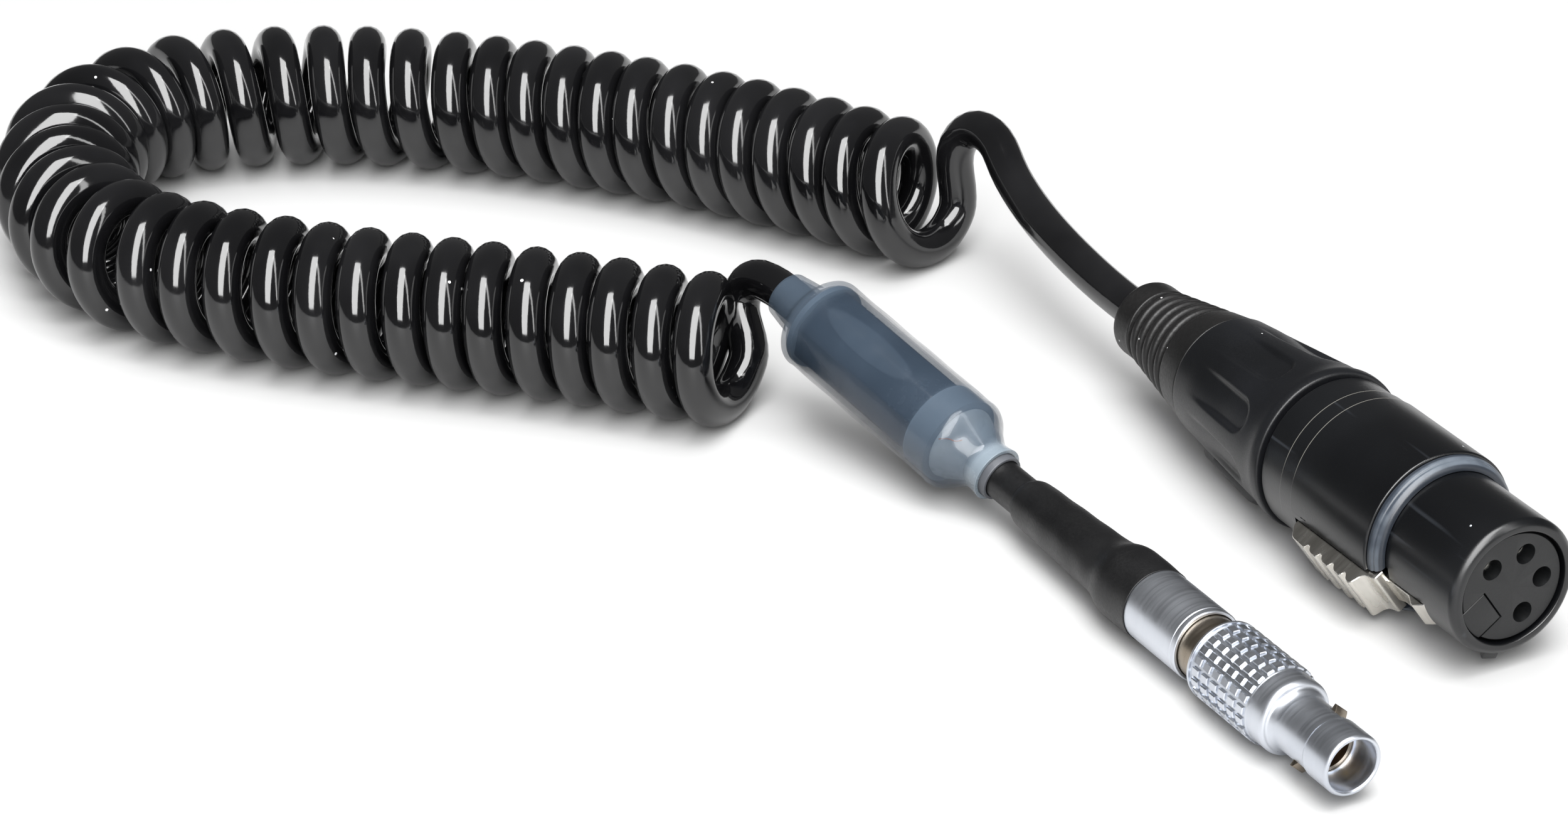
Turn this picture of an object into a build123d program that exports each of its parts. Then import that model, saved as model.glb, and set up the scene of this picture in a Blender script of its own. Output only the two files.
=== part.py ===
"""A coiled power lead: a four-contact cable socket at one end and a small push-pull plug at the other.

The lead lies on a flat surface, which is Z = 0. The socket points along +X. The curly cord
turns back on itself in a hairpin and ends in an inline module, ahead of the push-pull plug.
The origin is under the middle of the two connectors, on the surface. All sizes are millimetres.
"""

import math
import os

from build123d import *

os.makedirs("parts", exist_ok=True)

# ---------------------------------------------------------------- driving dimensions
# cord
CORD_D = 4.7
COIL_OUTER_D = 17.9

# clearances
FIT = 0.05
RUNNING = 0.06
LATCH_GAP = 0.3

# cable socket: stations run along its axis from the rear of the boot
SOCKET_REAR = (-34.8, 16.4)
BOOT_END = 17.6
BOOT_REAR_R = 4.75
BOOT_FRONT_R = 7.3
BOOT_TUCK_STEP = 1.4
BOOT_TUCK_END = 25.0
BOOT_RIBS = 6
RIB_PITCH = 1.75
BUSHING_END = 38.2
HOUSING_START = 38.6
SHOULDER = 59.0
SHOULDER_RING_W = 1.8
RIM = 73.0
FACE_RECESS = 0.5
BARREL_R = 7.95
BARREL_WALL = 1.4
SHOULDER_STEP = 1.55
HOUSING_WALL = 1.9
THREAD_WALL = 1.0
FLARE_LIP = 0.25
CONTACT_R = 1.45
CONTACT_BORE_R = 1.15
CONTACT_RIM = 1.05
KEY_W = 4.1
KEY_DEPTH = 3.65
LATCH_ANGLE = 215.0
LATCH_W = 6.2
BUTTON_START = 45.8
BUTTON_HEIGHT = 1.5
TONGUE_W = 3.6
TONGUE_T = 0.9
HOOK_END = 67.2
LATCH_PIN_R = 0.5
LATCH_PIN_LENGTH = 8.0

# inline module: stations run along its axis from the cord's end
MODULE_REAR = (-52.2, -21.65, 14.0)
MODULE_LEAD_IN = 2.2
MODULE_R = 5.8
SLEEVE_WALL = 0.45
NECK_R = 3.3
BARREL_START = 5.2
CORE_START = 7.2
CORE_LENGTH = 20.0
CORE_GAP = 0.65
CORE_WALL = 0.9

# push-pull plug: stations run along its axis, from the nose backwards
NOSE_TIP_X = 53.1
PLUG_Y = -13.8
NOSE_R = 3.5
NOSE_WALL = 0.58
NOSE_LENGTH = 10.3
LAND_END = 4.0
LAND_RELIEF = 0.16
GRIP_R = 4.7
GRIP_WALL = 0.94
GRIP_REAR = 24.0
NUT_FRONT = 27.2
NUT_STEP = 0.5
NUT_REAR = 43.4
SHRINK_REAR = 63.2
LEAD_R = 2.35
LEAD_BEND = 67.7
PLUG_PIN_R = 0.45
SHELL_TRAVEL = 0.9

# ---------------------------------------------------------------- sizes that follow from those
HOUSING_R = BARREL_R + SHOULDER_STEP
REAR_BORE_R = HOUSING_R - HOUSING_WALL
BUSHING_THREAD_R = HOUSING_R - THREAD_WALL
BUSHING_FLARE_R = HOUSING_R + FLARE_LIP
BOOT_TUCK_R = BOOT_FRONT_R - BOOT_TUCK_STEP
INSERT_R = BARREL_R - BARREL_WALL - FIT
CONTACT_CIRCLE_R = INSERT_R - CONTACT_RIM - CONTACT_R
LATCH_INNER_R = HOUSING_R - 2.2
BUTTON_R = HOUSING_R + BUTTON_HEIGHT
PIVOT = (BUTTON_START + 1.4, LATCH_INNER_R + 0.85)
NOSE_BORE_R = NOSE_R - NOSE_WALL
LATCH_SLEEVE_R = NOSE_BORE_R - LAND_RELIEF - FIT
CARRIER_R = GRIP_R - GRIP_WALL - RUNNING
NUT_R = GRIP_R - NUT_STEP
CORE_FLATS = 2 * (MODULE_R - SLEEVE_WALL - CORE_GAP)


def sketch_line(origin, along, side):
    """The lengthwise plane of a connector: local X runs along its axis, local Y away from it."""
    return Plane(origin=origin, x_dir=along, z_dir=side)


def across(line, station):
    """The plane that crosses a connector's axis at a station, facing along the axis."""
    return Plane(origin=line.origin + line.x_dir * station, x_dir=line.y_dir, z_dir=line.x_dir)


def save(piece, name):
    """Label one finished piece and write it to its own file."""
    piece.part.label = name
    export_step(piece.part, f"parts/{name}.step")
    print(f"{name}: volume {piece.part.volume:.1f}, solids {len(piece.part.solids())}")


# ---------------------------------------------------------------- places of the three lines
socket_origin = Vector(SOCKET_REAR[0], SOCKET_REAR[1], BUSHING_FLARE_R)
socket = sketch_line(socket_origin, (1, 0, 0), (0, -1, 0))
socket_axis = Axis(socket_origin, (1, 0, 0))

plug_origin = Vector(NOSE_TIP_X, PLUG_Y, GRIP_R + FIT)
plug = sketch_line(plug_origin, (-1, 0, 0), (0, 1, 0))
plug_axis = Axis(plug_origin, (-1, 0, 0))

lead_bend = plug_origin + plug.x_dir * LEAD_BEND
module_origin = Vector(*MODULE_REAR)
module_along = (lead_bend - module_origin).normalized()
module_side = module_along.cross(Vector(0, 0, 1)).normalized()
module = sketch_line(module_origin, module_along, module_side)
module_axis = Axis(module_origin, module_along)
MODULE_LENGTH = (lead_bend - module_origin).length - MODULE_LEAD_IN


def beside_socket(angle):
    """The lengthwise plane through the socket's axis, turned so that local Y points at an angle."""
    turn = math.radians(angle)
    side = (0, -math.sin(turn), math.cos(turn))
    return Plane(origin=socket_origin, x_dir=(1, 0, 0), z_dir=side)


# ---------------------------------------------------------------- cable socket: boot and bushing
RIBS_START = 3.2
GROOVE_DEPTH = 0.7
COLLAR_CHAMFER = 1.2
GROOVE_W = 0.74
cord_bore = CORD_D / 2 + FIT


def boot_radius(station):
    """The boot's outer radius, which widens evenly from its rear collar to the bushing."""
    return BOOT_REAR_R + (BOOT_FRONT_R - BOOT_REAR_R) * (station - RIBS_START) / (BOOT_END - RIBS_START)


with BuildPart() as boot:
    with BuildSketch(socket):
        Polygon(
            (0, cord_bore),
            (0, BOOT_REAR_R - COLLAR_CHAMFER),
            (COLLAR_CHAMFER, BOOT_REAR_R),
            (RIBS_START, BOOT_REAR_R),
            (BOOT_END, BOOT_FRONT_R),
            (BOOT_END, BOOT_TUCK_R),
            (BOOT_TUCK_END, BOOT_TUCK_R),
            (BOOT_TUCK_END, cord_bore),
            align=None,
        )
        for rib in range(BOOT_RIBS):
            groove = RIBS_START + (rib + 0.5) * RIB_PITCH
            with Locations((groove, boot_radius(groove))):
                Rectangle(GROOVE_W, GROOVE_DEPTH * 2, mode=Mode.SUBTRACT)
    revolve(axis=socket_axis)
save(boot, "boot")

BUSHING_BORE_R = BOOT_TUCK_R + FIT
BUSHING_THREAD_DEPTH = 7.0
BUSHING_WAIST = (30.0, BUSHING_FLARE_R - 1.0)
BUSHING_SWELL = (35.5, BUSHING_FLARE_R - 0.45)
FLARE_EDGE = 0.8
FLUTES = 8
FLUTE_START = 20.2
FLUTE_LENGTH = 12.5
FLUTE_W = 3.8
FLUTE_SLOPE = 4.5
FLUTE_FLOOR_R = BUSHING_FLARE_R - 1.4
FLUTE_TOOL = 1.9
RIB_ANGLE = LATCH_ANGLE + 19
RIB_W = 1.4
with BuildPart() as bushing:
    with BuildSketch(socket):
        Polygon(
            (BOOT_END + FIT, BUSHING_BORE_R),
            (BOOT_END + FIT, BOOT_FRONT_R + 0.15),
            BUSHING_WAIST,
            BUSHING_SWELL,
            (BUSHING_END - FLARE_EDGE, BUSHING_FLARE_R),
            (BUSHING_END, BUSHING_FLARE_R - 0.3),
            (BUSHING_END, BUSHING_THREAD_R),
            (BUSHING_END - BUSHING_THREAD_DEPTH, BUSHING_THREAD_R),
            (BOOT_TUCK_END + 1.2, BUSHING_BORE_R),
            align=None,
        )
    revolve(axis=socket_axis)
    for turn in range(FLUTES):
        with BuildSketch(beside_socket(turn * 360 / FLUTES + 20)):
            with Locations((FLUTE_START + FLUTE_LENGTH / 2, FLUTE_FLOOR_R + FLUTE_TOOL / 2)):
                Rectangle(FLUTE_LENGTH, FLUTE_TOOL, rotation=FLUTE_SLOPE)
        extrude(amount=FLUTE_W / 2, both=True, mode=Mode.SUBTRACT)
    with BuildSketch(beside_socket(RIB_ANGLE)):
        Polygon(
            (FLUTE_START + 1.4, BOOT_FRONT_R - 0.3),
            (FLUTE_START + 1.4, BOOT_FRONT_R + 1.1),
            (FLUTE_START + 2.8, BOOT_FRONT_R + 1.6),
            (FLUTE_START + FLUTE_LENGTH - 0.2, BUSHING_FLARE_R - 0.3),
            (FLUTE_START + FLUTE_LENGTH + 0.5, BUSHING_THREAD_R + 0.1),
            align=None,
        )
    extrude(amount=RIB_W / 2, both=True)
save(bushing, "bushing")

# ---------------------------------------------------------------- cable socket: clamp and core
CLAMP_START = BOOT_TUCK_END + FIT
CLAMP_END = 34.0
CLAMP_R = BOOT_TUCK_R - 0.3
CLAMP_CONE = 2.0
CLAMP_SLITS = 4
CLAMP_SLIT_W = 0.8
with BuildPart() as cable_clamp:
    with BuildSketch(socket):
        Polygon(
            (CLAMP_START, cord_bore),
            (CLAMP_START, CLAMP_R - 0.5),
            (CLAMP_START + CLAMP_CONE, CLAMP_R),
            (CLAMP_END, CLAMP_R),
            (CLAMP_END, cord_bore),
            align=None,
        )
    revolve(axis=socket_axis)
    with BuildSketch(across(socket, CLAMP_START)):
        with PolarLocations(CLAMP_R, CLAMP_SLITS, start_angle=45):
            Rectangle(CLAMP_R, CLAMP_SLIT_W)
    extrude(amount=CLAMP_END - CLAMP_START - CLAMP_CONE, mode=Mode.SUBTRACT)
save(cable_clamp, "cable_clamp")

CORE_END = 36.0
with BuildPart() as socket_cord_end:
    with BuildSketch(across(socket, 0)):
        Circle(CORD_D / 2)
    extrude(amount=CORE_END)
save(socket_cord_end, "socket_cord_end")

# ---------------------------------------------------------------- cable socket: housing
INSERT_START = 57.0
HOUSING_THREAD_R = BUSHING_THREAD_R - FIT
HOUSING_TAIL = 33.4
STEP_STATIONS = (42.5, 44.8)
STEP = 0.15
RING_END = SHOULDER + SHOULDER_RING_W
RIM_CHAMFER = 0.6
LUG_ANGLE = 257.0
LUG_W = 2.0
WINDOW_FLOOR_R = REAR_BORE_R - 1.3
TONGUE_SLOT_START = SHOULDER - 3.0
TONGUE_SLOT_END = HOOK_END + LATCH_GAP
TONGUE_SLOT_FLOOR_R = BARREL_R - 2.6
with BuildPart() as housing:
    with BuildSketch(socket):
        Polygon(
            (HOUSING_TAIL, REAR_BORE_R),
            (HOUSING_TAIL, HOUSING_THREAD_R),
            (HOUSING_START, HOUSING_THREAD_R),
            (HOUSING_START, HOUSING_R - 2 * STEP),
            (STEP_STATIONS[0], HOUSING_R - 2 * STEP),
            (STEP_STATIONS[0], HOUSING_R - STEP),
            (STEP_STATIONS[1], HOUSING_R - STEP),
            (STEP_STATIONS[1], HOUSING_R),
            (SHOULDER, HOUSING_R),
            (SHOULDER, BARREL_R),
            (RIM - RIM_CHAMFER, BARREL_R),
            (RIM, BARREL_R - RIM_CHAMFER),
            (RIM, BARREL_R - BARREL_WALL),
            (SHOULDER - 0.6, BARREL_R - BARREL_WALL),
            (SHOULDER - 2.4, REAR_BORE_R),
            align=None,
        )
    revolve(axis=socket_axis)
    with BuildSketch(beside_socket(LUG_ANGLE)):
        Polygon(
            (RIM - 2.4, BARREL_R - 0.4),
            (RIM - 0.9, BARREL_R + 0.8),
            (RIM - RIM_CHAMFER, BARREL_R - 0.7),
            align=None,
        )
    extrude(amount=LUG_W / 2, both=True)
    with BuildSketch(beside_socket(LATCH_ANGLE)):
        with Locations(((BUTTON_START + RING_END) / 2, (WINDOW_FLOOR_R + BUTTON_R) / 2)):
            Rectangle(RING_END - BUTTON_START + 2 * LATCH_GAP, BUTTON_R - WINDOW_FLOOR_R)
    extrude(amount=LATCH_W / 2 + LATCH_GAP, both=True, mode=Mode.SUBTRACT)
    with BuildSketch(beside_socket(LATCH_ANGLE)):
        with Locations(((TONGUE_SLOT_START + TONGUE_SLOT_END) / 2, (TONGUE_SLOT_FLOOR_R + HOUSING_R) / 2)):
            Rectangle(TONGUE_SLOT_END - TONGUE_SLOT_START, HOUSING_R - TONGUE_SLOT_FLOOR_R)
    extrude(amount=TONGUE_W / 2 + LATCH_GAP, both=True, mode=Mode.SUBTRACT)
    with BuildSketch(beside_socket(LATCH_ANGLE)):
        with Locations(PIVOT):
            Circle(LATCH_PIN_R + FIT)
    extrude(amount=LATCH_PIN_LENGTH / 2 + FIT, both=True, mode=Mode.SUBTRACT)
save(housing, "housing")

with BuildPart() as shoulder_ring:
    with BuildSketch(socket):
        Polygon(
            (SHOULDER + FIT, BARREL_R + FIT),
            (SHOULDER + FIT, HOUSING_R - 0.25),
            (RING_END - 0.7, HOUSING_R - 0.45),
            (RING_END, BARREL_R + SHOULDER_STEP / 3),
            (RING_END, BARREL_R + FIT),
            align=None,
        )
    revolve(axis=socket_axis)
    with BuildSketch(beside_socket(LATCH_ANGLE)):
        with Locations(((SHOULDER + RING_END) / 2, HOUSING_R)):
            Rectangle(SHOULDER_RING_W * 2, SHOULDER_STEP * 3)
    extrude(amount=LATCH_W / 2 + LATCH_GAP, both=True, mode=Mode.SUBTRACT)
save(shoulder_ring, "shoulder_ring")

# ---------------------------------------------------------------- cable socket: insert and contacts
FACE = RIM - FACE_RECESS
KEY_START = HOOK_END + 1.4
KEY_INNER_R = INSERT_R - KEY_DEPTH
CONTACT_ANGLES = [LATCH_ANGLE + side * swing for side in (-1, 1) for swing in (80, 148)]
CONTACT_START = INSERT_START - 4.5
CONTACT_LIP = 2.0
CONTACT_BASE = 1.0


def contact_place(angle, station):
    """The crossing plane of one contact of the socket, at its place on the contact circle."""
    turn = math.radians(angle)
    offset = Vector(0, math.cos(turn), math.sin(turn)) * CONTACT_CIRCLE_R
    crossing = across(socket, station)
    return Plane(origin=crossing.origin + offset, x_dir=crossing.x_dir, z_dir=crossing.z_dir)


LEDGE_START = BUTTON_START + 2.2
LEDGE_R = LATCH_INNER_R - 1.1
LEDGE_T = 0.8
LEDGE_W = KEY_W + 2.2
with BuildPart() as insert:
    with BuildSketch(across(socket, INSERT_START)):
        Circle(INSERT_R)
    extrude(amount=FACE - INSERT_START)
    with BuildSketch(beside_socket(LATCH_ANGLE)):
        with Locations(((INSERT_START + FACE) / 2, KEY_INNER_R + KEY_DEPTH)):
            Rectangle(FACE - INSERT_START, KEY_DEPTH * 2)
    extrude(amount=KEY_W / 2 + FIT, both=True, mode=Mode.SUBTRACT)
    with BuildSketch(beside_socket(LATCH_ANGLE)):
        with Locations(((LEDGE_START + INSERT_START + LEDGE_T) / 2, LEDGE_R - LEDGE_T / 2)):
            Rectangle(INSERT_START - LEDGE_START + LEDGE_T, LEDGE_T)
    extrude(amount=LEDGE_W / 2, both=True)
    for angle in CONTACT_ANGLES:
        with BuildSketch(contact_place(angle, INSERT_START)):
            Circle(CONTACT_R + FIT)
        extrude(amount=FACE - INSERT_START - CONTACT_LIP, mode=Mode.SUBTRACT)
        with BuildSketch(contact_place(angle, INSERT_START)):
            Circle(CONTACT_BORE_R)
        extrude(amount=FACE - INSERT_START, mode=Mode.SUBTRACT)
save(insert, "insert")

with BuildPart() as key_block:
    with BuildSketch(across(socket, KEY_START)):
        Circle(INSERT_R)
    extrude(amount=FACE - KEY_START)
    with BuildSketch(beside_socket(LATCH_ANGLE)):
        with Locations(((KEY_START + FACE) / 2, KEY_INNER_R + FIT + INSERT_R / 2)):
            Rectangle(FACE - KEY_START, INSERT_R)
    extrude(amount=KEY_W / 2, both=True, mode=Mode.INTERSECT)
save(key_block, "key_block")

for number, angle in enumerate(CONTACT_ANGLES, start=1):
    with BuildPart() as contact:
        with BuildSketch(contact_place(angle, CONTACT_START)):
            Circle(CONTACT_R)
            Circle(CONTACT_BORE_R, mode=Mode.SUBTRACT)
        extrude(amount=FACE - CONTACT_LIP - FIT - CONTACT_START)
        with BuildSketch(contact_place(angle, CONTACT_START)):
            Circle(CONTACT_R)
        extrude(amount=INSERT_START - CONTACT_START + CONTACT_BASE)
    save(contact, f"socket_contact_{number}")

# Four thin conductors fan out from the stripped cord to the contacts' rear ends.
WIRE_R = 0.55
WIRE_INNER_CIRCLE_R = 1.2
WIRE_STRAIGHT = 5.0
WIRE_BEND_R = 3.0
with BuildPart() as socket_wires:
    for angle in CONTACT_ANGLES:
        turn = math.radians(angle)
        outward = Vector(0, math.cos(turn), math.sin(turn))
        start = socket_origin + Vector(CORE_END + FIT, 0, 0) + outward * WIRE_INNER_CIRCLE_R
        end = socket_origin + Vector(CONTACT_START, 0, 0) + outward * CONTACT_CIRCLE_R
        with BuildLine() as wire_route:
            FilletPolyline(
                start,
                start + Vector(WIRE_STRAIGHT, 0, 0),
                end - Vector(WIRE_STRAIGHT, 0, 0),
                end,
                radius=WIRE_BEND_R,
            )
        with BuildSketch(Plane(origin=start, z_dir=(1, 0, 0))):
            Circle(WIRE_R)
        sweep(path=wire_route.wires()[0])
save(socket_wires, "socket_wires")

# ---------------------------------------------------------------- cable socket: latch
RIDGES = 4
RIDGE_PITCH = 2.3
RIDGE_GROOVE_W = 0.92
RIDGES_START = BUTTON_START + 4.0
FRONT_RELIEF = 0.4
tongue_top = BARREL_R - 0.1
with BuildPart() as latch:
    with BuildSketch(beside_socket(LATCH_ANGLE)):
        Polygon(
            (BUTTON_START, LATCH_INNER_R),
            (BUTTON_START, LATCH_INNER_R + 2.3),
            (BUTTON_START + 1.8, BUTTON_R - 0.4),
            (SHOULDER - 1.6, BUTTON_R),
            (SHOULDER - 0.2, LATCH_INNER_R + 1.9),
            (RING_END - 0.2, LATCH_INNER_R + 1.6),
            (RING_END - 0.2, LATCH_INNER_R + FRONT_RELIEF),
            (SHOULDER - 2.0, LATCH_INNER_R),
            align=None,
        )
        for ridge in range(RIDGES):
            with Locations((RIDGES_START + ridge * RIDGE_PITCH, BUTTON_R - 0.1)):
                Rectangle(RIDGE_GROOVE_W, 0.8, mode=Mode.SUBTRACT)
        with Locations(PIVOT):
            Circle(LATCH_PIN_R + RUNNING, mode=Mode.SUBTRACT)
    extrude(amount=LATCH_W / 2, both=True)
    with BuildSketch(beside_socket(LATCH_ANGLE)):
        Polygon(
            (SHOULDER - 2, LATCH_INNER_R),
            (SHOULDER - 2, LATCH_INNER_R + 0.9),
            (RING_END - 0.5, LATCH_INNER_R + 0.9),
            (RING_END + 0.6, tongue_top),
            (HOOK_END - 2.6, tongue_top),
            (HOOK_END - 1.4, tongue_top + 0.7),
            (HOOK_END, tongue_top - 0.2),
            (HOOK_END, tongue_top - TONGUE_T),
            (RING_END, tongue_top - TONGUE_T),
            align=None,
        )
    extrude(amount=TONGUE_W / 2, both=True)
save(latch, "latch")

with BuildPart() as latch_pin:
    with BuildSketch(beside_socket(LATCH_ANGLE)):
        with Locations(PIVOT):
            Circle(LATCH_PIN_R)
    extrude(amount=LATCH_PIN_LENGTH / 2, both=True)
save(latch_pin, "latch_pin")

# A bent leaf under the button pushes it out.
SPRING_T = 0.2
SPRING_W = 3.2
SPRING_REAR = BUTTON_START + 3.6
SPRING_CREST = BUTTON_START + 7.0
SPRING_FRONT = SHOULDER - 4.0
spring_seat = LEDGE_R + FIT
with BuildPart() as latch_spring:
    with BuildSketch(beside_socket(LATCH_ANGLE)):
        Polygon(
            (SPRING_REAR, spring_seat),
            (SPRING_FRONT, spring_seat),
            (SPRING_CREST, LATCH_INNER_R - FIT),
            (SPRING_CREST, LATCH_INNER_R - FIT - SPRING_T),
            (SPRING_FRONT - 1.0, spring_seat + SPRING_T),
            (SPRING_REAR, spring_seat + SPRING_T),
            align=None,
        )
    extrude(amount=SPRING_W / 2, both=True)
save(latch_spring, "latch_spring")

# ---------------------------------------------------------------- inline module
BARREL_END = 32.2
REAR_NECK_END = 4.2
FRONT_NECK_START = 35.2
FRONT_NECK_R = 3.1
LIP_R = 3.3
GREY_SLEEVE_WALL = 0.35
lead_bore = LEAD_R + FIT
neck_bore = lead_bore + GREY_SLEEVE_WALL + FIT
sleeve_inner_r = MODULE_R - SLEEVE_WALL
core_end = CORE_START + CORE_LENGTH
with BuildPart() as module_sleeve:
    with BuildSketch(module):
        Polygon(
            (0, cord_bore),
            (0, cord_bore + SLEEVE_WALL),
            (REAR_NECK_END - 1.6, NECK_R),
            (REAR_NECK_END, NECK_R + 0.2),
            (BARREL_START, MODULE_R - 0.7),
            (BARREL_START + 0.8, MODULE_R),
            (BARREL_END - 0.9, MODULE_R),
            (BARREL_END, MODULE_R - 0.4),
            (BARREL_END + 0.9, MODULE_R - 1.3),
            (FRONT_NECK_START, FRONT_NECK_R),
            (MODULE_LENGTH - 1.2, FRONT_NECK_R),
            (MODULE_LENGTH, LIP_R),
            (MODULE_LENGTH, neck_bore),
            (FRONT_NECK_START, neck_bore),
            (BARREL_END + 0.5, MODULE_R - 1.6),
            (BARREL_END - 0.4, sleeve_inner_r - 0.2),
            (BARREL_END - 1.2, sleeve_inner_r),
            (BARREL_START + 1.2, sleeve_inner_r),
            (BARREL_START + 0.4, sleeve_inner_r - 0.6),
            (REAR_NECK_END + 0.4, NECK_R - 0.3),
            (REAR_NECK_END - 1.6, NECK_R - SLEEVE_WALL),
            align=None,
        )
    revolve(axis=module_axis)
save(module_sleeve, "module_sleeve")

# The core is an eight-sided case, so its corners stand out beyond its flats.
CORE_SIDES = 8
corner_share = math.cos(math.pi / CORE_SIDES)
core_radius = CORE_FLATS / 2 / corner_share
core_inner_radius = core_radius - CORE_WALL / corner_share
with BuildPart() as core_case:
    with BuildSketch(across(module, CORE_START)):
        RegularPolygon(core_radius, CORE_SIDES, rotation=180 / CORE_SIDES)
        RegularPolygon(core_inner_radius, CORE_SIDES, rotation=180 / CORE_SIDES, mode=Mode.SUBTRACT)
    extrude(amount=CORE_LENGTH)
save(core_case, "core_case")

LEAD_SPACING = 1.2
LEAD_WIRE_R = 0.6
WIRE_HOLE_R = 0.75
CAP_R = sleeve_inner_r - FIT


def end_cap(start, length, name):
    """A round cap with two wire holes, which closes one end of the module's core."""
    with BuildPart() as cap:
        with BuildSketch(across(module, start)):
            Circle(CAP_R)
        extrude(amount=length)
        with BuildSketch(across(module, start)):
            with GridLocations(0, LEAD_SPACING * 2, 1, 2):
                Circle(WIRE_HOLE_R)
        extrude(amount=length, mode=Mode.SUBTRACT)
    save(cap, name)


REAR_CAP_START = BARREL_START + 1.25
FRONT_CAP_LENGTH = 3.4
end_cap(REAR_CAP_START, CORE_START - FIT - REAR_CAP_START, "module_rear_cap")
end_cap(core_end + FIT, FRONT_CAP_LENGTH, "module_front_cap")

BOARD = (17.0, 6.0, 1.0)
board_middle = CORE_START + CORE_LENGTH / 2
BOARD_PARTS = [(-5.0, 4.0, 3.0, 1.6), (0.5, 3.2, 4.2, 1.9), (5.4, 2.6, 2.6, 1.3)]


def on_board(height):
    """A plane lying along the module's axis, at a height above it, with X along the axis."""
    level = module.origin + module.y_dir * height
    return Plane(origin=level, x_dir=module.x_dir, z_dir=module.y_dir)


with BuildPart() as board:
    with BuildSketch(on_board(-BOARD[2] / 2)):
        with Locations((board_middle, 0)):
            Rectangle(BOARD[0], BOARD[1])
    extrude(amount=BOARD[2])
save(board, "board")

with BuildPart() as board_parts:
    for along, length, width, height in BOARD_PARTS:
        with BuildSketch(on_board(BOARD[2] / 2)):
            with Locations((board_middle + along, 0)):
                Rectangle(length, width)
        extrude(amount=height)
save(board_parts, "board_parts")

CORD_STRIP = 4.4
board_rear = board_middle - BOARD[0] / 2
board_front = board_middle + BOARD[0] / 2
with BuildPart() as module_cord_end:
    with BuildSketch(across(module, 0)):
        Circle(CORD_D / 2)
    extrude(amount=CORD_STRIP)
save(module_cord_end, "module_cord_end")

FRONT_STRIP = 33.6
with BuildPart() as module_leads:
    for start, end in ((CORD_STRIP, board_rear), (board_front, FRONT_STRIP)):
        with BuildSketch(across(module, start)):
            with GridLocations(0, LEAD_SPACING * 2, 1, 2):
                Circle(LEAD_WIRE_R)
        extrude(amount=end - start)
save(module_leads, "module_leads")

GREY_SLEEVE_TUCK = 0.6
GREY_SLEEVE_SHOWS = 0.9
with BuildPart() as grey_sleeve:
    with BuildSketch(across(module, FRONT_NECK_START - GREY_SLEEVE_TUCK)):
        Circle(lead_bore + GREY_SLEEVE_WALL)
        Circle(lead_bore, mode=Mode.SUBTRACT)
    extrude(amount=MODULE_LENGTH - FRONT_NECK_START + GREY_SLEEVE_TUCK + GREY_SLEEVE_SHOWS)
save(grey_sleeve, "grey_sleeve")

# ---------------------------------------------------------------- lead between module and plug
LEAD_TUCK = 35.5
LEAD_BEND_R = 10.0
lead_start = plug_origin + plug.x_dir * LEAD_TUCK
lead_end = module_origin + module_along * FRONT_STRIP
with BuildPart() as lead_cable:
    with BuildLine() as lead_route:
        FilletPolyline(lead_start, lead_bend, lead_end, radius=LEAD_BEND_R)
    with BuildSketch(across(plug, LEAD_TUCK)):
        Circle(LEAD_R)
    sweep(path=lead_route.wires()[0])
save(lead_cable, "lead_cable")

# ---------------------------------------------------------------- push-pull plug: shell
GRIP_START = 13.3
STEP_R = GRIP_R - 0.35
SHELL_STEP = 12.4
GRIP_RINGS = 6
GRIP_FLUTES = 22
PAD_GAP = 0.5
PAD_PITCH = (GRIP_REAR - GRIP_START) / (GRIP_RINGS + 0.4)
PAD_HEIGHT = 0.35
NOSE_CHAMFER = 0.2
WINDOW_START = 4.6
WINDOW_LENGTH = 2.0
FINGER_W = 1.8
WINDOW_SIDE_GAP = 0.1
FINGER_ANGLES = (48.0, 228.0)


def beside_plug(angle):
    """The lengthwise plane through the plug's axis, turned so that local Y points at an angle."""
    turn = math.radians(angle)
    outward = Vector(0, math.cos(turn), math.sin(turn))
    return Plane(origin=plug_origin, x_dir=plug.x_dir, z_dir=plug.x_dir.cross(outward))


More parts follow.
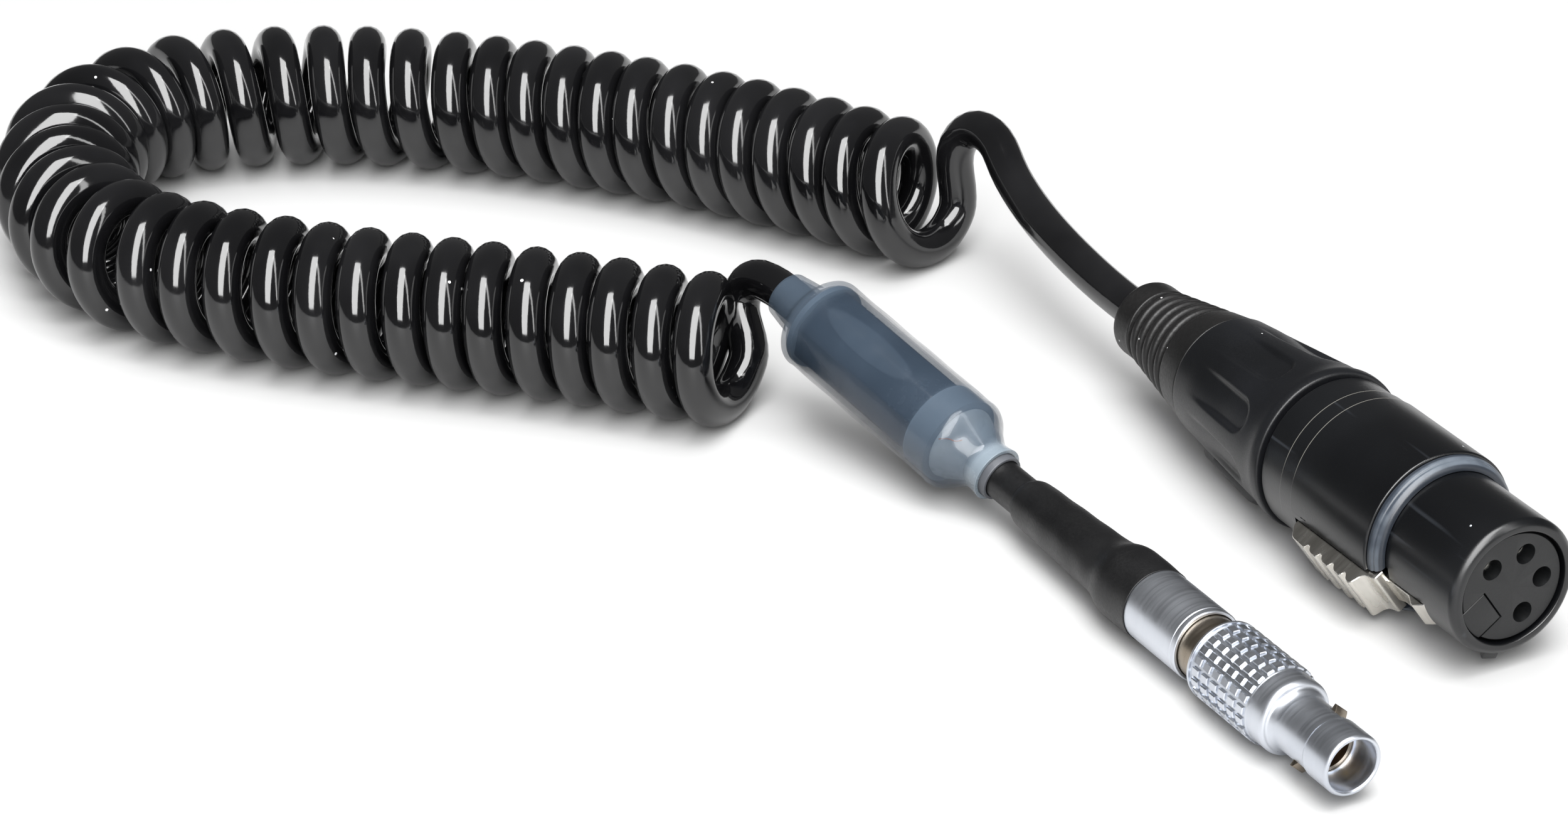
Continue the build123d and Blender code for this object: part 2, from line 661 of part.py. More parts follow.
with BuildPart() as plug_shell:
    with BuildSketch(plug):
        Polygon(
            (0, NOSE_BORE_R + 0.15),
            (0, NOSE_R - NOSE_CHAMFER),
            (NOSE_CHAMFER, NOSE_R),
            (LAND_END, NOSE_R),
            (LAND_END, NOSE_R - LAND_RELIEF),
            (NOSE_LENGTH, NOSE_R - LAND_RELIEF),
            (NOSE_LENGTH, STEP_R - 0.3),
            (NOSE_LENGTH + 0.3, STEP_R),
            (GRIP_START, STEP_R),
            (GRIP_START, GRIP_R),
            (GRIP_REAR - 0.3, GRIP_R),
            (GRIP_REAR, GRIP_R - 0.3),
            (GRIP_REAR, CARRIER_R + RUNNING),
            (SHELL_STEP, CARRIER_R + RUNNING),
            (SHELL_STEP, NOSE_BORE_R - LAND_RELIEF),
            (LAND_END, NOSE_BORE_R - LAND_RELIEF),
            (LAND_END, NOSE_BORE_R),
            (NOSE_CHAMFER, NOSE_BORE_R),
            align=None,
        )
        for ring in range(GRIP_RINGS):
            with Locations((GRIP_START + (ring + 1) * PAD_PITCH, GRIP_R)):
                Rectangle(PAD_GAP, PAD_HEIGHT * 2, mode=Mode.SUBTRACT)
    revolve(axis=plug_axis)
    with BuildSketch(across(plug, GRIP_START)):
        with PolarLocations(GRIP_R, GRIP_FLUTES):
            Rectangle(PAD_HEIGHT * 2, PAD_GAP)
    extrude(amount=GRIP_REAR - GRIP_START, mode=Mode.SUBTRACT)
    for angle in FINGER_ANGLES:
        with BuildSketch(beside_plug(angle)):
            with Locations((WINDOW_START + WINDOW_LENGTH / 2, NOSE_R)):
                Rectangle(WINDOW_LENGTH, NOSE_WALL * 4)
        extrude(amount=FINGER_W / 2 + WINDOW_SIDE_GAP, both=True, mode=Mode.SUBTRACT)
save(plug_shell, "plug_shell")

# ---------------------------------------------------------------- push-pull plug: latch
SLEEVE_FRONT = 4.2
FINGER_ROOT = 11.5
FINGER_TOP_R = LATCH_SLEEVE_R - 0.17
FINGER_T = 0.3
TOOTH_TOP_R = NOSE_R + 0.4
SLEEVE_WALL_T = 0.37
CARRIER_FRONT = SHELL_STEP + SHELL_TRAVEL + 0.3
sleeve_bore_r = LATCH_SLEEVE_R - SLEEVE_WALL_T
with BuildPart() as latch_sleeve:
    with BuildSketch(plug):
        Polygon(
            (SLEEVE_FRONT, sleeve_bore_r),
            (SLEEVE_FRONT, LATCH_SLEEVE_R),
            (CARRIER_FRONT, LATCH_SLEEVE_R),
            (CARRIER_FRONT, sleeve_bore_r),
            align=None,
        )
    revolve(axis=plug_axis)
    for angle in FINGER_ANGLES:
        with BuildSketch(beside_plug(angle)):
            with Locations(((SLEEVE_FRONT + FINGER_ROOT) / 2, LATCH_SLEEVE_R)):
                Rectangle(FINGER_ROOT - SLEEVE_FRONT + 0.4, SLEEVE_WALL_T * 5)
        extrude(amount=FINGER_W / 2 + 0.15, both=True, mode=Mode.SUBTRACT)
save(latch_sleeve, "latch_sleeve")

for number, angle in enumerate(FINGER_ANGLES, start=1):
    with BuildPart() as finger:
        with BuildSketch(beside_plug(angle)):
            Polygon(
                (SLEEVE_FRONT + 0.3, FINGER_TOP_R - FINGER_T),
                (SLEEVE_FRONT + 0.3, FINGER_TOP_R),
                (WINDOW_START + 0.6, FINGER_TOP_R),
                (WINDOW_START + 0.75, LATCH_SLEEVE_R),
                (WINDOW_START + 1.4, TOOTH_TOP_R - 0.1),
                (WINDOW_START + 1.5, TOOTH_TOP_R),
                (WINDOW_START + 1.85, TOOTH_TOP_R),
                (WINDOW_START + 1.85, FINGER_TOP_R),
                (FINGER_ROOT, FINGER_TOP_R),
                (FINGER_ROOT, FINGER_TOP_R - FINGER_T),
                align=None,
            )
            with Locations((FINGER_ROOT, FINGER_TOP_R - FINGER_T / 2)):
                Circle(FINGER_T / 2)
        extrude(amount=FINGER_W / 2, both=True)
    save(finger, f"latch_finger_{number}")

# ---------------------------------------------------------------- push-pull plug: inner parts
CARRIER_WALL = 0.45
CARRIER_LIP = 0.6
INSERT_FRONT = 7.5
INSERT_TIP_R = 1.8
INSERT_TIP_END = 9.8
INSERT_REAR = 20.0
CARRIER_REAR = 33.0
PIN_SPACING = 1.0
PIN_TIP = 5.4
PIN_REAR = 24.0
with BuildPart() as carrier:
    with BuildSketch(plug):
        Polygon(
            (CARRIER_FRONT, sleeve_bore_r),
            (CARRIER_FRONT, CARRIER_R),
            (CARRIER_REAR, CARRIER_R),
            (CARRIER_REAR, CARRIER_R - CARRIER_WALL),
            (CARRIER_FRONT + CARRIER_LIP, CARRIER_R - CARRIER_WALL),
            (CARRIER_FRONT + CARRIER_LIP, sleeve_bore_r),
            align=None,
        )
    revolve(axis=plug_axis)
save(carrier, "carrier")

INSERT_INNER_R = sleeve_bore_r - FIT
with BuildPart() as contact_insert:
    with BuildSketch(plug):
        Polygon(
            (INSERT_FRONT, 0),
            (INSERT_FRONT, INSERT_TIP_R),
            (INSERT_TIP_END, INSERT_TIP_R),
            (FINGER_ROOT - 0.2, INSERT_INNER_R - 0.35),
            (FINGER_ROOT + 0.5, INSERT_INNER_R),
            (CARRIER_FRONT + CARRIER_LIP + FIT, INSERT_INNER_R),
            (CARRIER_FRONT + CARRIER_LIP + FIT, CARRIER_R - CARRIER_WALL - FIT),
            (INSERT_REAR, CARRIER_R - CARRIER_WALL - FIT),
            (INSERT_REAR, 0),
            align=None,
        )
    revolve(axis=plug_axis)
    with BuildSketch(across(plug, INSERT_FRONT)):
        with GridLocations(0, PIN_SPACING * 2, 1, 2):
            Circle(PLUG_PIN_R + FIT)
    extrude(amount=INSERT_REAR - INSERT_FRONT, mode=Mode.SUBTRACT)
save(contact_insert, "contact_insert")

with BuildPart() as plug_pins:
    with BuildSketch(across(plug, PIN_TIP)):
        with GridLocations(0, PIN_SPACING * 2, 1, 2):
            Circle(PLUG_PIN_R)
    extrude(amount=PIN_REAR - PIN_TIP)
save(plug_pins, "plug_pins")

with BuildPart() as plug_wires:
    with BuildSketch(across(plug, PIN_REAR)):
        with GridLocations(0, PIN_SPACING * 2, 1, 2):
            Circle(WIRE_R)
    extrude(amount=LEAD_TUCK - PIN_REAR)
save(plug_wires, "plug_wires")

# ---------------------------------------------------------------- push-pull plug: clamp and nut
COLLET_START = CARRIER_REAR + 0.4
COLLET_END = 41.0
COLLET_R = CARRIER_R - 0.45
COLLET_CONE = 38.4
NUT_CONE_R = lead_bore + 0.35
NUT_CHAMFER = 0.5
NUT_EDGE = 0.15
with BuildPart() as collet_nut:
    with BuildSketch(plug):
        Polygon(
            (NUT_FRONT, CARRIER_R + FIT),
            (NUT_FRONT, NUT_R - NUT_EDGE),
            (NUT_FRONT + NUT_EDGE, NUT_R),
            (NUT_REAR - NUT_CHAMFER, NUT_R),
            (NUT_REAR, NUT_R - NUT_CHAMFER),
            (NUT_REAR, NUT_CONE_R),
            (COLLET_END + 0.3, NUT_CONE_R),
            (COLLET_CONE + 0.1, COLLET_R + FIT),
            (COLLET_START - 0.2, COLLET_R + FIT),
            (COLLET_START - 0.2, CARRIER_R + FIT),
            align=None,
        )
    revolve(axis=plug_axis)
save(collet_nut, "collet_nut")

COLLET_SLITS = 3
COLLET_SLIT_W = 0.5
COLLET_RING = 2.0
with BuildPart() as cable_collet:
    with BuildSketch(plug):
        Polygon(
            (COLLET_START, lead_bore),
            (COLLET_START, COLLET_R),
            (COLLET_CONE, COLLET_R),
            (COLLET_END, NUT_CONE_R - FIT),
            (COLLET_END, lead_bore),
            align=None,
        )
    revolve(axis=plug_axis)
    with BuildSketch(across(plug, COLLET_START + COLLET_RING)):
        with PolarLocations(COLLET_R, COLLET_SLITS):
            Rectangle(COLLET_R, COLLET_SLIT_W)
    extrude(amount=COLLET_END - COLLET_START, mode=Mode.SUBTRACT)
save(cable_collet, "cable_collet")

INNER_SHRINK_R = LEAD_R + 0.25
INNER_SHRINK_GAP = 0.3
with BuildPart() as inner_shrink:
    with BuildSketch(across(plug, NUT_REAR + INNER_SHRINK_GAP)):
        Circle(INNER_SHRINK_R)
        Circle(lead_bore, mode=Mode.SUBTRACT)
    extrude(amount=SHRINK_REAR - 2.0 - NUT_REAR)
save(inner_shrink, "inner_shrink")

SHRINK_FRONT = 37.0
with BuildPart() as outer_shrink:
    with BuildSketch(plug):
        Polygon(
            (SHRINK_FRONT, NUT_R + FIT),
            (SHRINK_FRONT, NUT_R + 0.25),
            (NUT_REAR - 0.4, NUT_R + 0.35),
            (NUT_REAR + 2.0, NUT_R - 0.45),
            (NUT_REAR + 5.0, NUT_R - 0.65),
            (SHRINK_REAR - 0.6, INNER_SHRINK_R + 0.45),
            (SHRINK_REAR, INNER_SHRINK_R + 0.25),
            (SHRINK_REAR, INNER_SHRINK_R + FIT),
            (NUT_REAR + 2.0, INNER_SHRINK_R + FIT),
            (NUT_REAR + FIT, NUT_R - 0.4),
            (NUT_REAR - 0.4, NUT_R + FIT),
            align=None,
        )
    revolve(axis=plug_axis)
save(outer_shrink, "outer_shrink")

# ---------------------------------------------------------------- cord
MODULE_RUN_IN = 4.0
coil_z = COIL_OUTER_D / 2
COIL_ROUTE = [
    (-76.7, 11.45),
    (-97.2, 1.15),
    (-116.2, -12.65),
    (-132.2, -28.15),
    (-142.7, -43.65),
    (-148.2, -61.15),
    (-141.7, -75.65),
    (-126.2, -82.65),
    (-109.2, -82.65),
    (-96.2, -74.15),
    (-82.7, -61.45),
    (-70.2, -47.65),
    (-59.2, -36.65),
    (-51.7, -30.15),
]
SOCKET_TAIL_ROUTE = [
    (-80.1, 14.15, 8.8),
    (-79.9, 16.45, 13.2),
    (-77.6, 18.05, 17.0),
    (-72.7, 18.55, 17.0),
    (-67.6, 17.65, 13.9),
    (-59.1, 16.65, 12.0),
    (-49.6, 16.15, 10.8),
    (-41.1, SOCKET_REAR[1], BUSHING_FLARE_R),
    tuple(socket_origin),
]
PLUG_TAIL_ROUTE = [
    (-58.6, -28.35, 6.7),
    (-60.3, -24.65, 9.5),
    (-59.7, -23.25, 13.4),
    tuple(module_origin - module_along * MODULE_RUN_IN),
    tuple(module_origin),
]


def corner_radii(route):
    """The largest arc that each corner's two runs leave room for."""
    points = [Vector(*point) for point in route]
    radii = []
    for before, corner, after in zip(points, points[1:], points[2:]):
        turn = (corner - before).get_angle(after - corner)
        shorter = min((corner - before).length, (after - corner).length)
        radii.append(0.45 * shorter / math.tan(math.radians(turn) / 2))
    return radii


def cord_piece(route, radius, name):
    """A solid round cord along a route of straight runs joined by tangent arcs."""
    radii = corner_radii(route)
    with BuildPart() as piece:
        with BuildLine() as path:
            FilletPolyline(*route, radius=radii)
        line = path.wires()[0]
        with BuildSketch(Plane(origin=line @ 0, z_dir=line % 0)):
            Circle(radius)
        sweep(path=line)
    save(piece, name)
    expected = math.pi * radius**2 * line.length
    print(f"  {name}: length {line.length:.1f}, radii {[round(r, 1) for r in radii]}")
    print(f"  {name}: volume is {piece.part.volume / expected:.4f} of its section times its length")


cord_piece([(x, y, coil_z) for x, y in COIL_ROUTE], COIL_OUTER_D / 2, "curly_cord")
cord_piece(SOCKET_TAIL_ROUTE, CORD_D / 2, "socket_tail")
cord_piece(PLUG_TAIL_ROUTE, CORD_D / 2, "plug_tail")

# ---------------------------------------------------------------- places that the record states
print("socket rim", tuple(across(socket, RIM).origin))
print("plug nose", tuple(plug_origin))
latch_side = beside_socket(LATCH_ANGLE)
print("latch pivot", tuple(latch_side.from_local_coords((PIVOT[0], PIVOT[1], 0))))
for angle in FINGER_ANGLES:
    root = (FINGER_ROOT, FINGER_TOP_R - FINGER_T / 2, 0)
    print("finger pivot", angle, tuple(beside_plug(angle).from_local_coords(root)))
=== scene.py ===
"""A coiled power lead laid on a white table, with every piece shaped and finished for its picture."""

import math

import bmesh
import bpy
import numpy as np
from mathutils import Matrix, Vector


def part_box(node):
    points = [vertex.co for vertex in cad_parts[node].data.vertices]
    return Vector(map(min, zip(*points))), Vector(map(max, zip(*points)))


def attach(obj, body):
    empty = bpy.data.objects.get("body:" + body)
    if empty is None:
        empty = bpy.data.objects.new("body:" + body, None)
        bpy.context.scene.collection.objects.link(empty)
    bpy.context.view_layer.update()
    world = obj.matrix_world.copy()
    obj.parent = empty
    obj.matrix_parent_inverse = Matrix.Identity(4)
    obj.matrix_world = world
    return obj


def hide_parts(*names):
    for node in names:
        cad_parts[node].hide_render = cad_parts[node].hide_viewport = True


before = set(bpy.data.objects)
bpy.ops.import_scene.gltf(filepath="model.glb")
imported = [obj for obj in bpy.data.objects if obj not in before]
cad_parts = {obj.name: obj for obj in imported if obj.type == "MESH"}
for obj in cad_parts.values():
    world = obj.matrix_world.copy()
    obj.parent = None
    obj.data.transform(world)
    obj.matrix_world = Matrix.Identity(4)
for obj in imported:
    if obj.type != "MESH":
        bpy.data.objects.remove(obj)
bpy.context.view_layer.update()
scene = bpy.context.scene

# ------------------------------------------------------------------ table, lamps and camera
# The lead lies on a smooth table top, lit until it looks white. A tall cloth-fronted lamp hangs above the
# camera and a slim one to its right, which every round piece mirrors. A wide one overhead isn't mirrored.
TABLE_HALF = 6.0
EYE = (0.4008, -0.26695, 0.2669)
LOOKED_AT = (-0.0502, -0.02315, 0.0)
LENS = 113.8
ROOM_GLOW = 0.12
TABLE_GREYS = (0.34, 0.36)
LAMPS = {
    "tall_lamp": {"at": (0.47, -0.3, 0.71), "size": (0.56, 1.5), "watts": 30.0, "mirrored": True},
    "slim_lamp": {"at": (0.6, 0.3, 0.6), "size": (0.12, 1.2), "watts": 3.0, "mirrored": True},
    "ceiling_lamp": {"at": (-0.25, 0.1, 1.3), "size": (1.2, 1.2), "watts": 26.0, "mirrored": False},
}


class Flow:
    """A number on its way out of a node. Sums written with it become Math nodes."""

    def __init__(self, finish, socket):
        self.finish, self.socket = finish, socket

    def worked(self, operation, first, second):
        return self.finish.node("Math", {"operation": operation}, {0: first, 1: second})

    def __add__(self, other):
        return self.worked("ADD", self, other)

    def __sub__(self, other):
        return self.worked("SUBTRACT", self, other)

    def __mul__(self, other):
        return self.worked("MULTIPLY", self, other)

    def __truediv__(self, other):
        return self.worked("DIVIDE", self, other)

    def __gt__(self, other):
        return self.worked("GREATER_THAN", self, other)

    def __lt__(self, other):
        return self.worked("LESS_THAN", self, other)

class Finish:
    """One surface finish: a Principled shader, its fixed values and the nodes that feed it."""

    def __init__(self, name, fixed):
        self.material = bpy.data.materials.new(name)
        self.material.use_nodes = True
        self.tree = self.material.node_tree
        self.shader = self.tree.nodes["Principled BSDF"]
        for socket, value in fixed.items():
            self.shader.inputs[socket].default_value = value

    def node(self, kind, settings, inputs, output=0):
        """A node of one kind. Its settings come first, then the values or flows of its sockets."""
        made = self.tree.nodes.new("ShaderNode" + kind)
        for setting, value in settings.items():
            setattr(made, setting, value)
        for socket, value in inputs.items():
            if isinstance(value, Flow):
                self.tree.links.new(value.socket, made.inputs[socket])
            else:
                made.inputs[socket].default_value = value
        return Flow(self, made.outputs[output])

    def place(self, stretch=(1, 1, 1)):
        """The piece's own coordinates, stretched."""
        own = self.node("TexCoord", {}, {}, "Object")
        return self.node("Mapping", {}, {"Vector": own, "Scale": stretch})

    def noise(self, scale, detail=2.0, stretch=(1, 1, 1)):
        """Cloudy noise, with scale in cells per metre."""
        sockets = {"Vector": self.place(stretch), "Scale": scale, "Detail": detail}
        return self.node("TexNoise", {}, sockets)

    def spots(self, scale, size):
        """Small specks in some of the cells, 1 on a speck and 0 beside it."""
        sockets = {"Vector": self.place(), "Scale": scale, "Randomness": 1.0}
        near = self.node("TexVoronoi", {"feature": "F1"}, sockets)
        kept = self.noise(scale * 0.9, 0.0)
        return (near < size) * (kept > 0.56)

    def ramp(self, value, low, high, first=0.0, last=1.0):
        """value taken smoothly from the span low to high onto the span first to last."""
        spans = {"Value": value, "From Min": low, "From Max": high, "To Min": first, "To Max": last}
        return self.node("MapRange", {"interpolation_type": "SMOOTHSTEP"}, spans)

    def tint(self, factor, first, second):
        """The first colour where factor is 0 and the second where it is 1."""
        colours = {0: factor, 6: first, 7: second}
        return self.node("Mix", {"data_type": "RGBA"}, colours, 2)

    def bump(self, height, depth, under=None):
        """A bump of that depth in metres, on top of another one if there is one."""
        sockets = {"Height": height, "Distance": depth, "Strength": 1.0}
        if under:
            sockets["Normal"] = under
        return self.node("Bump", {}, sockets)

    def round_and_along(self):
        """A turned piece's own map: the share of a turn round its line, and metres along it."""
        own = self.node("UVMap", {"uv_map": "round_and_along"}, {})
        return [self.node("SeparateXYZ", {}, {0: own}, output) for output in (0, 1)]

    def feed(self, socket, flow):
        self.tree.links.new(flow.socket, self.shader.inputs[socket])


def rgb(red, green, blue):
    """A colour from the 0 to 255 numbers of a paint chart, as the linear light that it gives back."""
    return tuple((part / 255) ** 2.2 for part in (red, green, blue)) + (1.0,)


def in_scene(name, data):
    made = bpy.data.objects.new(name, data)
    scene.collection.objects.link(made)
    return made


table_mesh = bpy.data.meshes.new("table_top")
edges_of_table = [(-1, -1), (1, -1), (1, 1), (-1, 1)]
table_corners = [(x * TABLE_HALF, y * TABLE_HALF, 0.0) for x, y in edges_of_table]
table_mesh.from_pydata(table_corners, [], [(0, 1, 2, 3)])
table_top = in_scene("table_top", table_mesh)
white_paint = Finish("white_table", {"Specular IOR Level": 0.2})
cloud = white_paint.noise(3.0, 1.0)
darker, paler = [(grey, grey, grey, 1) for grey in TABLE_GREYS]
white_paint.feed("Base Color", white_paint.tint(cloud, darker, paler))
white_paint.feed("Roughness", white_paint.ramp(cloud, 0.3, 0.7, 0.55, 0.65))
table_mesh.materials.append(white_paint.material)

for lamp_name, lamp_facts in LAMPS.items():
    lamp = bpy.data.lights.new(lamp_name, "AREA")
    lamp.shape = "RECTANGLE"
    lamp.size, lamp.size_y = lamp_facts["size"]
    lamp.energy = lamp_facts["watts"]
    hung = in_scene(lamp_name, lamp)
    hung.location = lamp_facts["at"]
    hung.visible_camera = False
    hung.visible_glossy = lamp_facts["mirrored"]
    hung.rotation_mode = "QUATERNION"
    hung.rotation_quaternion = (-Vector(lamp_facts["at"])).to_track_quat("-Z", "Y")

room = bpy.data.worlds.new("white_room")
room.use_nodes = True
glow = room.node_tree.nodes["Background"].inputs
glow["Color"].default_value = (1.0, 1.0, 1.0, 1.0)
glow["Strength"].default_value = ROOM_GLOW
scene.world = room
scene.view_settings.view_transform = "Standard"

camera = in_scene("camera", bpy.data.cameras.new("camera"))
camera.data.lens = LENS
camera.data.clip_start, camera.data.clip_end = 0.01, 20.0
camera.location = EYE
camera.rotation_mode = "QUATERNION"
camera.rotation_quaternion = (Vector(LOOKED_AT) - Vector(EYE)).to_track_quat("-Z", "Y")
scene.camera = camera

# ------------------------------------------------------------------ curly cord
# A round flexible cord, wound on a rod while warm so that it springs back into a coil. Its glossy
# black jacket is extruded plastic. One tail rises into the socket's boot, the other into the module.
MM = 0.001
CORD_D = 4.7
WINDING_R = 6.6
COIL_Z = 8.95
POINTS_A_TURN = 16
TURNS = 41
END_TURN = 70 / 360
UNEVEN = ((0.16, 1.9, 0.0), (0.1, 0.77, 1.3))
LEAN = 2.9 / 16
LEAN_END = 84.0
COIL_ROUTE = [
    (-76.7, 11.45),
    (-97.2, 1.15),
    (-116.2, -12.65),
    (-132.2, -28.15),
    (-142.7, -43.65),
    (-148.2, -61.15),
    (-141.7, -75.65),
    (-126.2, -82.65),
    (-109.2, -82.65),
    (-96.2, -74.15),
    (-82.7, -61.45),
    (-70.2, -47.65),
    (-59.2, -36.65),
    (-51.7, -30.15),
]
SOCKET_TAIL_ROUTE = [
    (-79.9, 16.45, 13.2),
    (-77.6, 18.05, 17.0),
    (-72.7, 18.55, 17.0),
    (-67.6, 17.65, 13.9),
    (-59.1, 16.65, 12.0),
    (-49.6, 16.15, 10.8),
    (-41.1, 16.4, 9.75),
    (-34.8, 16.4, 9.75),
]
PLUG_TAIL_ROUTE = [
    (-59.4, -24.4, 9.8),
    (-59.2, -23.2, 13.2),
    (-56.0, -22.44, 14.7),
    (-52.2, -21.65, 14.0),
]
# How far along the coil each turn has come, in turns and millimetres.
TURN_STATIONS = [
    (-1.0, -5.4),
    (0.0, 1.2),
    (1.08, 7.35),
    (3.08, 18.15),
    (7.06, 38.7),
    (11.07, 59.2),
    (15.07, 81.5),
    (17.07, 93.2),
    (22.5, 128.0),
    (27.91, 162.1),
    (31.92, 184.2),
    (36.92, 210.0),
    (41.0, 231.3),
    (42.0, 236.3),
]


def strand(name, points, thickness):
    """A round cord of that thickness along one smooth line, both in millimetres."""
    line = bpy.data.curves.new(name, "CURVE")
    line.dimensions = "3D"
    spline = line.splines.new("NURBS")
    spline.points.add(len(points) - 1)
    for point, at in zip(spline.points, points):
        point.co = (at[0] * MM, at[1] * MM, at[2] * MM, 1.0)
    spline.order_u = 3
    spline.use_endpoint_u = True
    line.resolution_u = 4
    line.bevel_depth = thickness / 2 * MM
    line.bevel_resolution = 7
    line.use_fill_caps = thickness > 0
    return in_scene(name, line)


def read_line(points):
    """Points read along the smooth line of a route, in millimetres."""
    guide = strand("guide", points, 0)
    guide.data.resolution_u = 24
    read = bpy.data.meshes.new_from_object(guide)
    along = np.array([vertex.co for vertex in read.vertices]) / MM
    bpy.data.objects.remove(guide)
    bpy.data.meshes.remove(read)
    return along


coil_line = read_line([(x, y, COIL_Z) for x, y in COIL_ROUTE])
steps_along = np.linalg.norm(np.diff(coil_line, axis=0), axis=1)
coil_stations = np.concatenate([[0.0], np.cumsum(steps_along)])
turn_numbers, turn_places = zip(*TURN_STATIONS)


def on_line(station):
    return np.array([np.interp(station, coil_stations, coil_line[:, axis]) for axis in range(3)])


def on_coil(station):
    """The point of the coil's own line at a station, which runs on straight past both ends."""
    held = min(max(station, 0.0), coil_stations[-1])
    ahead = min(held + 0.5, coil_stations[-1])
    heading = on_line(ahead) - on_line(ahead - 1)
    heading /= np.linalg.norm(heading)
    return on_line(held) + heading * (station - held), heading


# The control points stand a little outside the winding, because the smooth line cuts inside them.
control_r = WINDING_R / (0.75 + 0.25 * math.cos(2 * math.pi / POINTS_A_TURN))
winding = []
first_step = -round(END_TURN * POINTS_A_TURN)
for step in range(first_step, TURNS * POINTS_A_TURN - first_step + 1):
    turn = step / POINTS_A_TURN
    uneven = sum(size * math.sin(rate * turn + start) for size, rate, start in UNEVEN)
    station = float(np.interp(turn, turn_numbers, turn_places)) + uneven * min(1.0, turn, TURNS - turn)
    middle, heading = on_coil(station)
    inward = np.array((-heading[1], heading[0], 0.0))
    angle = 2 * math.pi * turn
    height = -control_r * math.cos(angle)
    lean = LEAN * max(0.0, 1 - station / LEAN_END) * height
    winding.append(middle + inward * control_r * math.sin(angle) + heading * lean + np.array((0, 0, height)))

cord_points = SOCKET_TAIL_ROUTE[::-1] + [tuple(at) for at in winding] + PLUG_TAIL_ROUTE
curly_cord = strand("curly_cord_jacket", cord_points, CORD_D)


def worn(name, dark, light, rough, grain, depth, fixed=None, dust=0.0, patch=60.0):
    """A finish with broad tone changes, fine grain in its gloss and relief, and a little dust."""
    made = Finish(name, fixed or {})
    broad = made.noise(patch, 3.0)
    fine = made.noise(grain)
    colour = made.tint(made.ramp(broad, 0.3, 0.7), dark, light)
    gloss = made.ramp(broad * 0.6 + fine * 0.4, 0.3, 0.7, rough[0], rough[1])
    if dust:
        specks = made.spots(260.0, dust)
        colour = made.tint(specks * 0.75, colour, rgb(225, 225, 225))
        gloss = gloss + specks * 0.3
    made.feed("Base Color", colour)
    made.feed("Roughness", gloss)
    made.feed("Normal", made.bump(fine, depth))
    return made


jacket = worn(
    "cord_jacket", rgb(15, 15, 16), rgb(24, 24, 25), (0.075, 0.13), 700.0, 0.000012, {"IOR": 1.62}, dust=0.05
)
curly_cord.data.materials.append(jacket.material)
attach(curly_cord, "lead")
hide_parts("curly_cord", "socket_tail", "plug_tail")
boot_low, boot_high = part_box("boot")
socket_at = Vector((boot_low.x, (boot_low.y + boot_high.y) / 2, (boot_low.z + boot_high.z) / 2))

# ------------------------------------------------------------------ boot
# A soft black rubber boot, moulded in one piece, that keeps the cord from kinking where it enters
# the socket. Six rounded ribs let it bend, and its front is trapped inside the bushing.
RIBS = 6
RIBS_START = 3.2
RIB_PITCH = 1.75
RIB_OUTLINE = ((-0.44, 0.02, 0.42), (-0.14, 1.05, 0.2), (0.14, 1.05, 0.2), (0.44, 0.02, 0.42))
BOOT_END = 17.55
BOOT_REAR_R = 4.75
BOOT_FRONT_R = 7.3
ARC_STEPS = 5


class Line:
    """A connector's own line: where it starts, which way it runs, and two directions across it."""

    def __init__(self, at, along):
        self.at, self.along = Vector(at), Vector(along).normalized()
        level = Vector((0, 1, 0)) if abs(self.along.x) > 0.99999 else Vector((0, 0, 1)).cross(self.along)
        self.side = level.normalized()
        self.up = Vector((0, 0, 1)) if abs(self.along.x) > 0.99999 else self.along.cross(self.side)

    def point(self, station, radius=0.0, angle=0.0, across=0.0):
        """A point at a station, at a radius and angle round the line, moved across that angle."""
        turn = math.radians(angle)
        outward = self.side * math.cos(turn) + self.up * math.sin(turn)
        beside = self.side * -math.sin(turn) + self.up * math.cos(turn)
        return self.at + (self.along * station + outward * radius + beside * across) * MM


socket_line = Line(socket_at, (1, 0, 0))


def rounded(corners, fine=None):
    """The closed outline through corners of station, radius and rounding, in millimetres."""
    drawn = []
    for number, (station, radius, rounding) in enumerate(corners):
        here = np.array((station, radius), float)
        before = np.array(corners[number - 1][:2], float) - here
        after = np.array(corners[(number + 1) % len(corners)][:2], float) - here
        cut = min(rounding, 0.48 * np.linalg.norm(before), 0.48 * np.linalg.norm(after))
        if cut <= 0:
            drawn.append(here)
            continue
        first = here + before / np.linalg.norm(before) * cut
        last = here + after / np.linalg.norm(after) * cut
        for step in range(ARC_STEPS + 1):
            share = step / ARC_STEPS
            drawn.append((1 - share) ** 2 * first + 2 * share * (1 - share) * here + share**2 * last)
    if not fine:
        return drawn
    split = []
    for here, after in zip(drawn, drawn[1:] + drawn[:1]):
        count = max(1, math.ceil(np.linalg.norm(after - here) / fine))
        split += [here + (after - here) * step / count for step in range(count)]
    return split


def meshed(name, made):
    """A piece made from a worked mesh, which is then let go."""
    mesh = bpy.data.meshes.new(name)
    made.to_mesh(mesh)
    made.free()
    return in_scene(name, mesh)


def smoothed(mesh, sharp=32):
    """Smooth shading, except across edges sharper than that angle."""
    mesh.shade_smooth()
    mesh.set_sharp_from_angle(angle=math.radians(sharp))


def unrolled(mesh, line):
    """A map of a turned piece: the share of a turn round its line, and metres along it."""
    places = np.array([vertex.co for vertex in mesh.vertices]) - np.array(line.at)
    along = places @ np.array(line.along)
    around = np.arctan2(places @ np.array(line.up), places @ np.array(line.side)) / 2 / math.pi % 1.0
    corners = np.array([loop.vertex_index for loop in mesh.loops])
    layer = mesh.uv_layers.new(name="round_and_along")
    layer.data.foreach_set("uv", np.stack([around[corners], along[corners]], axis=1).ravel())


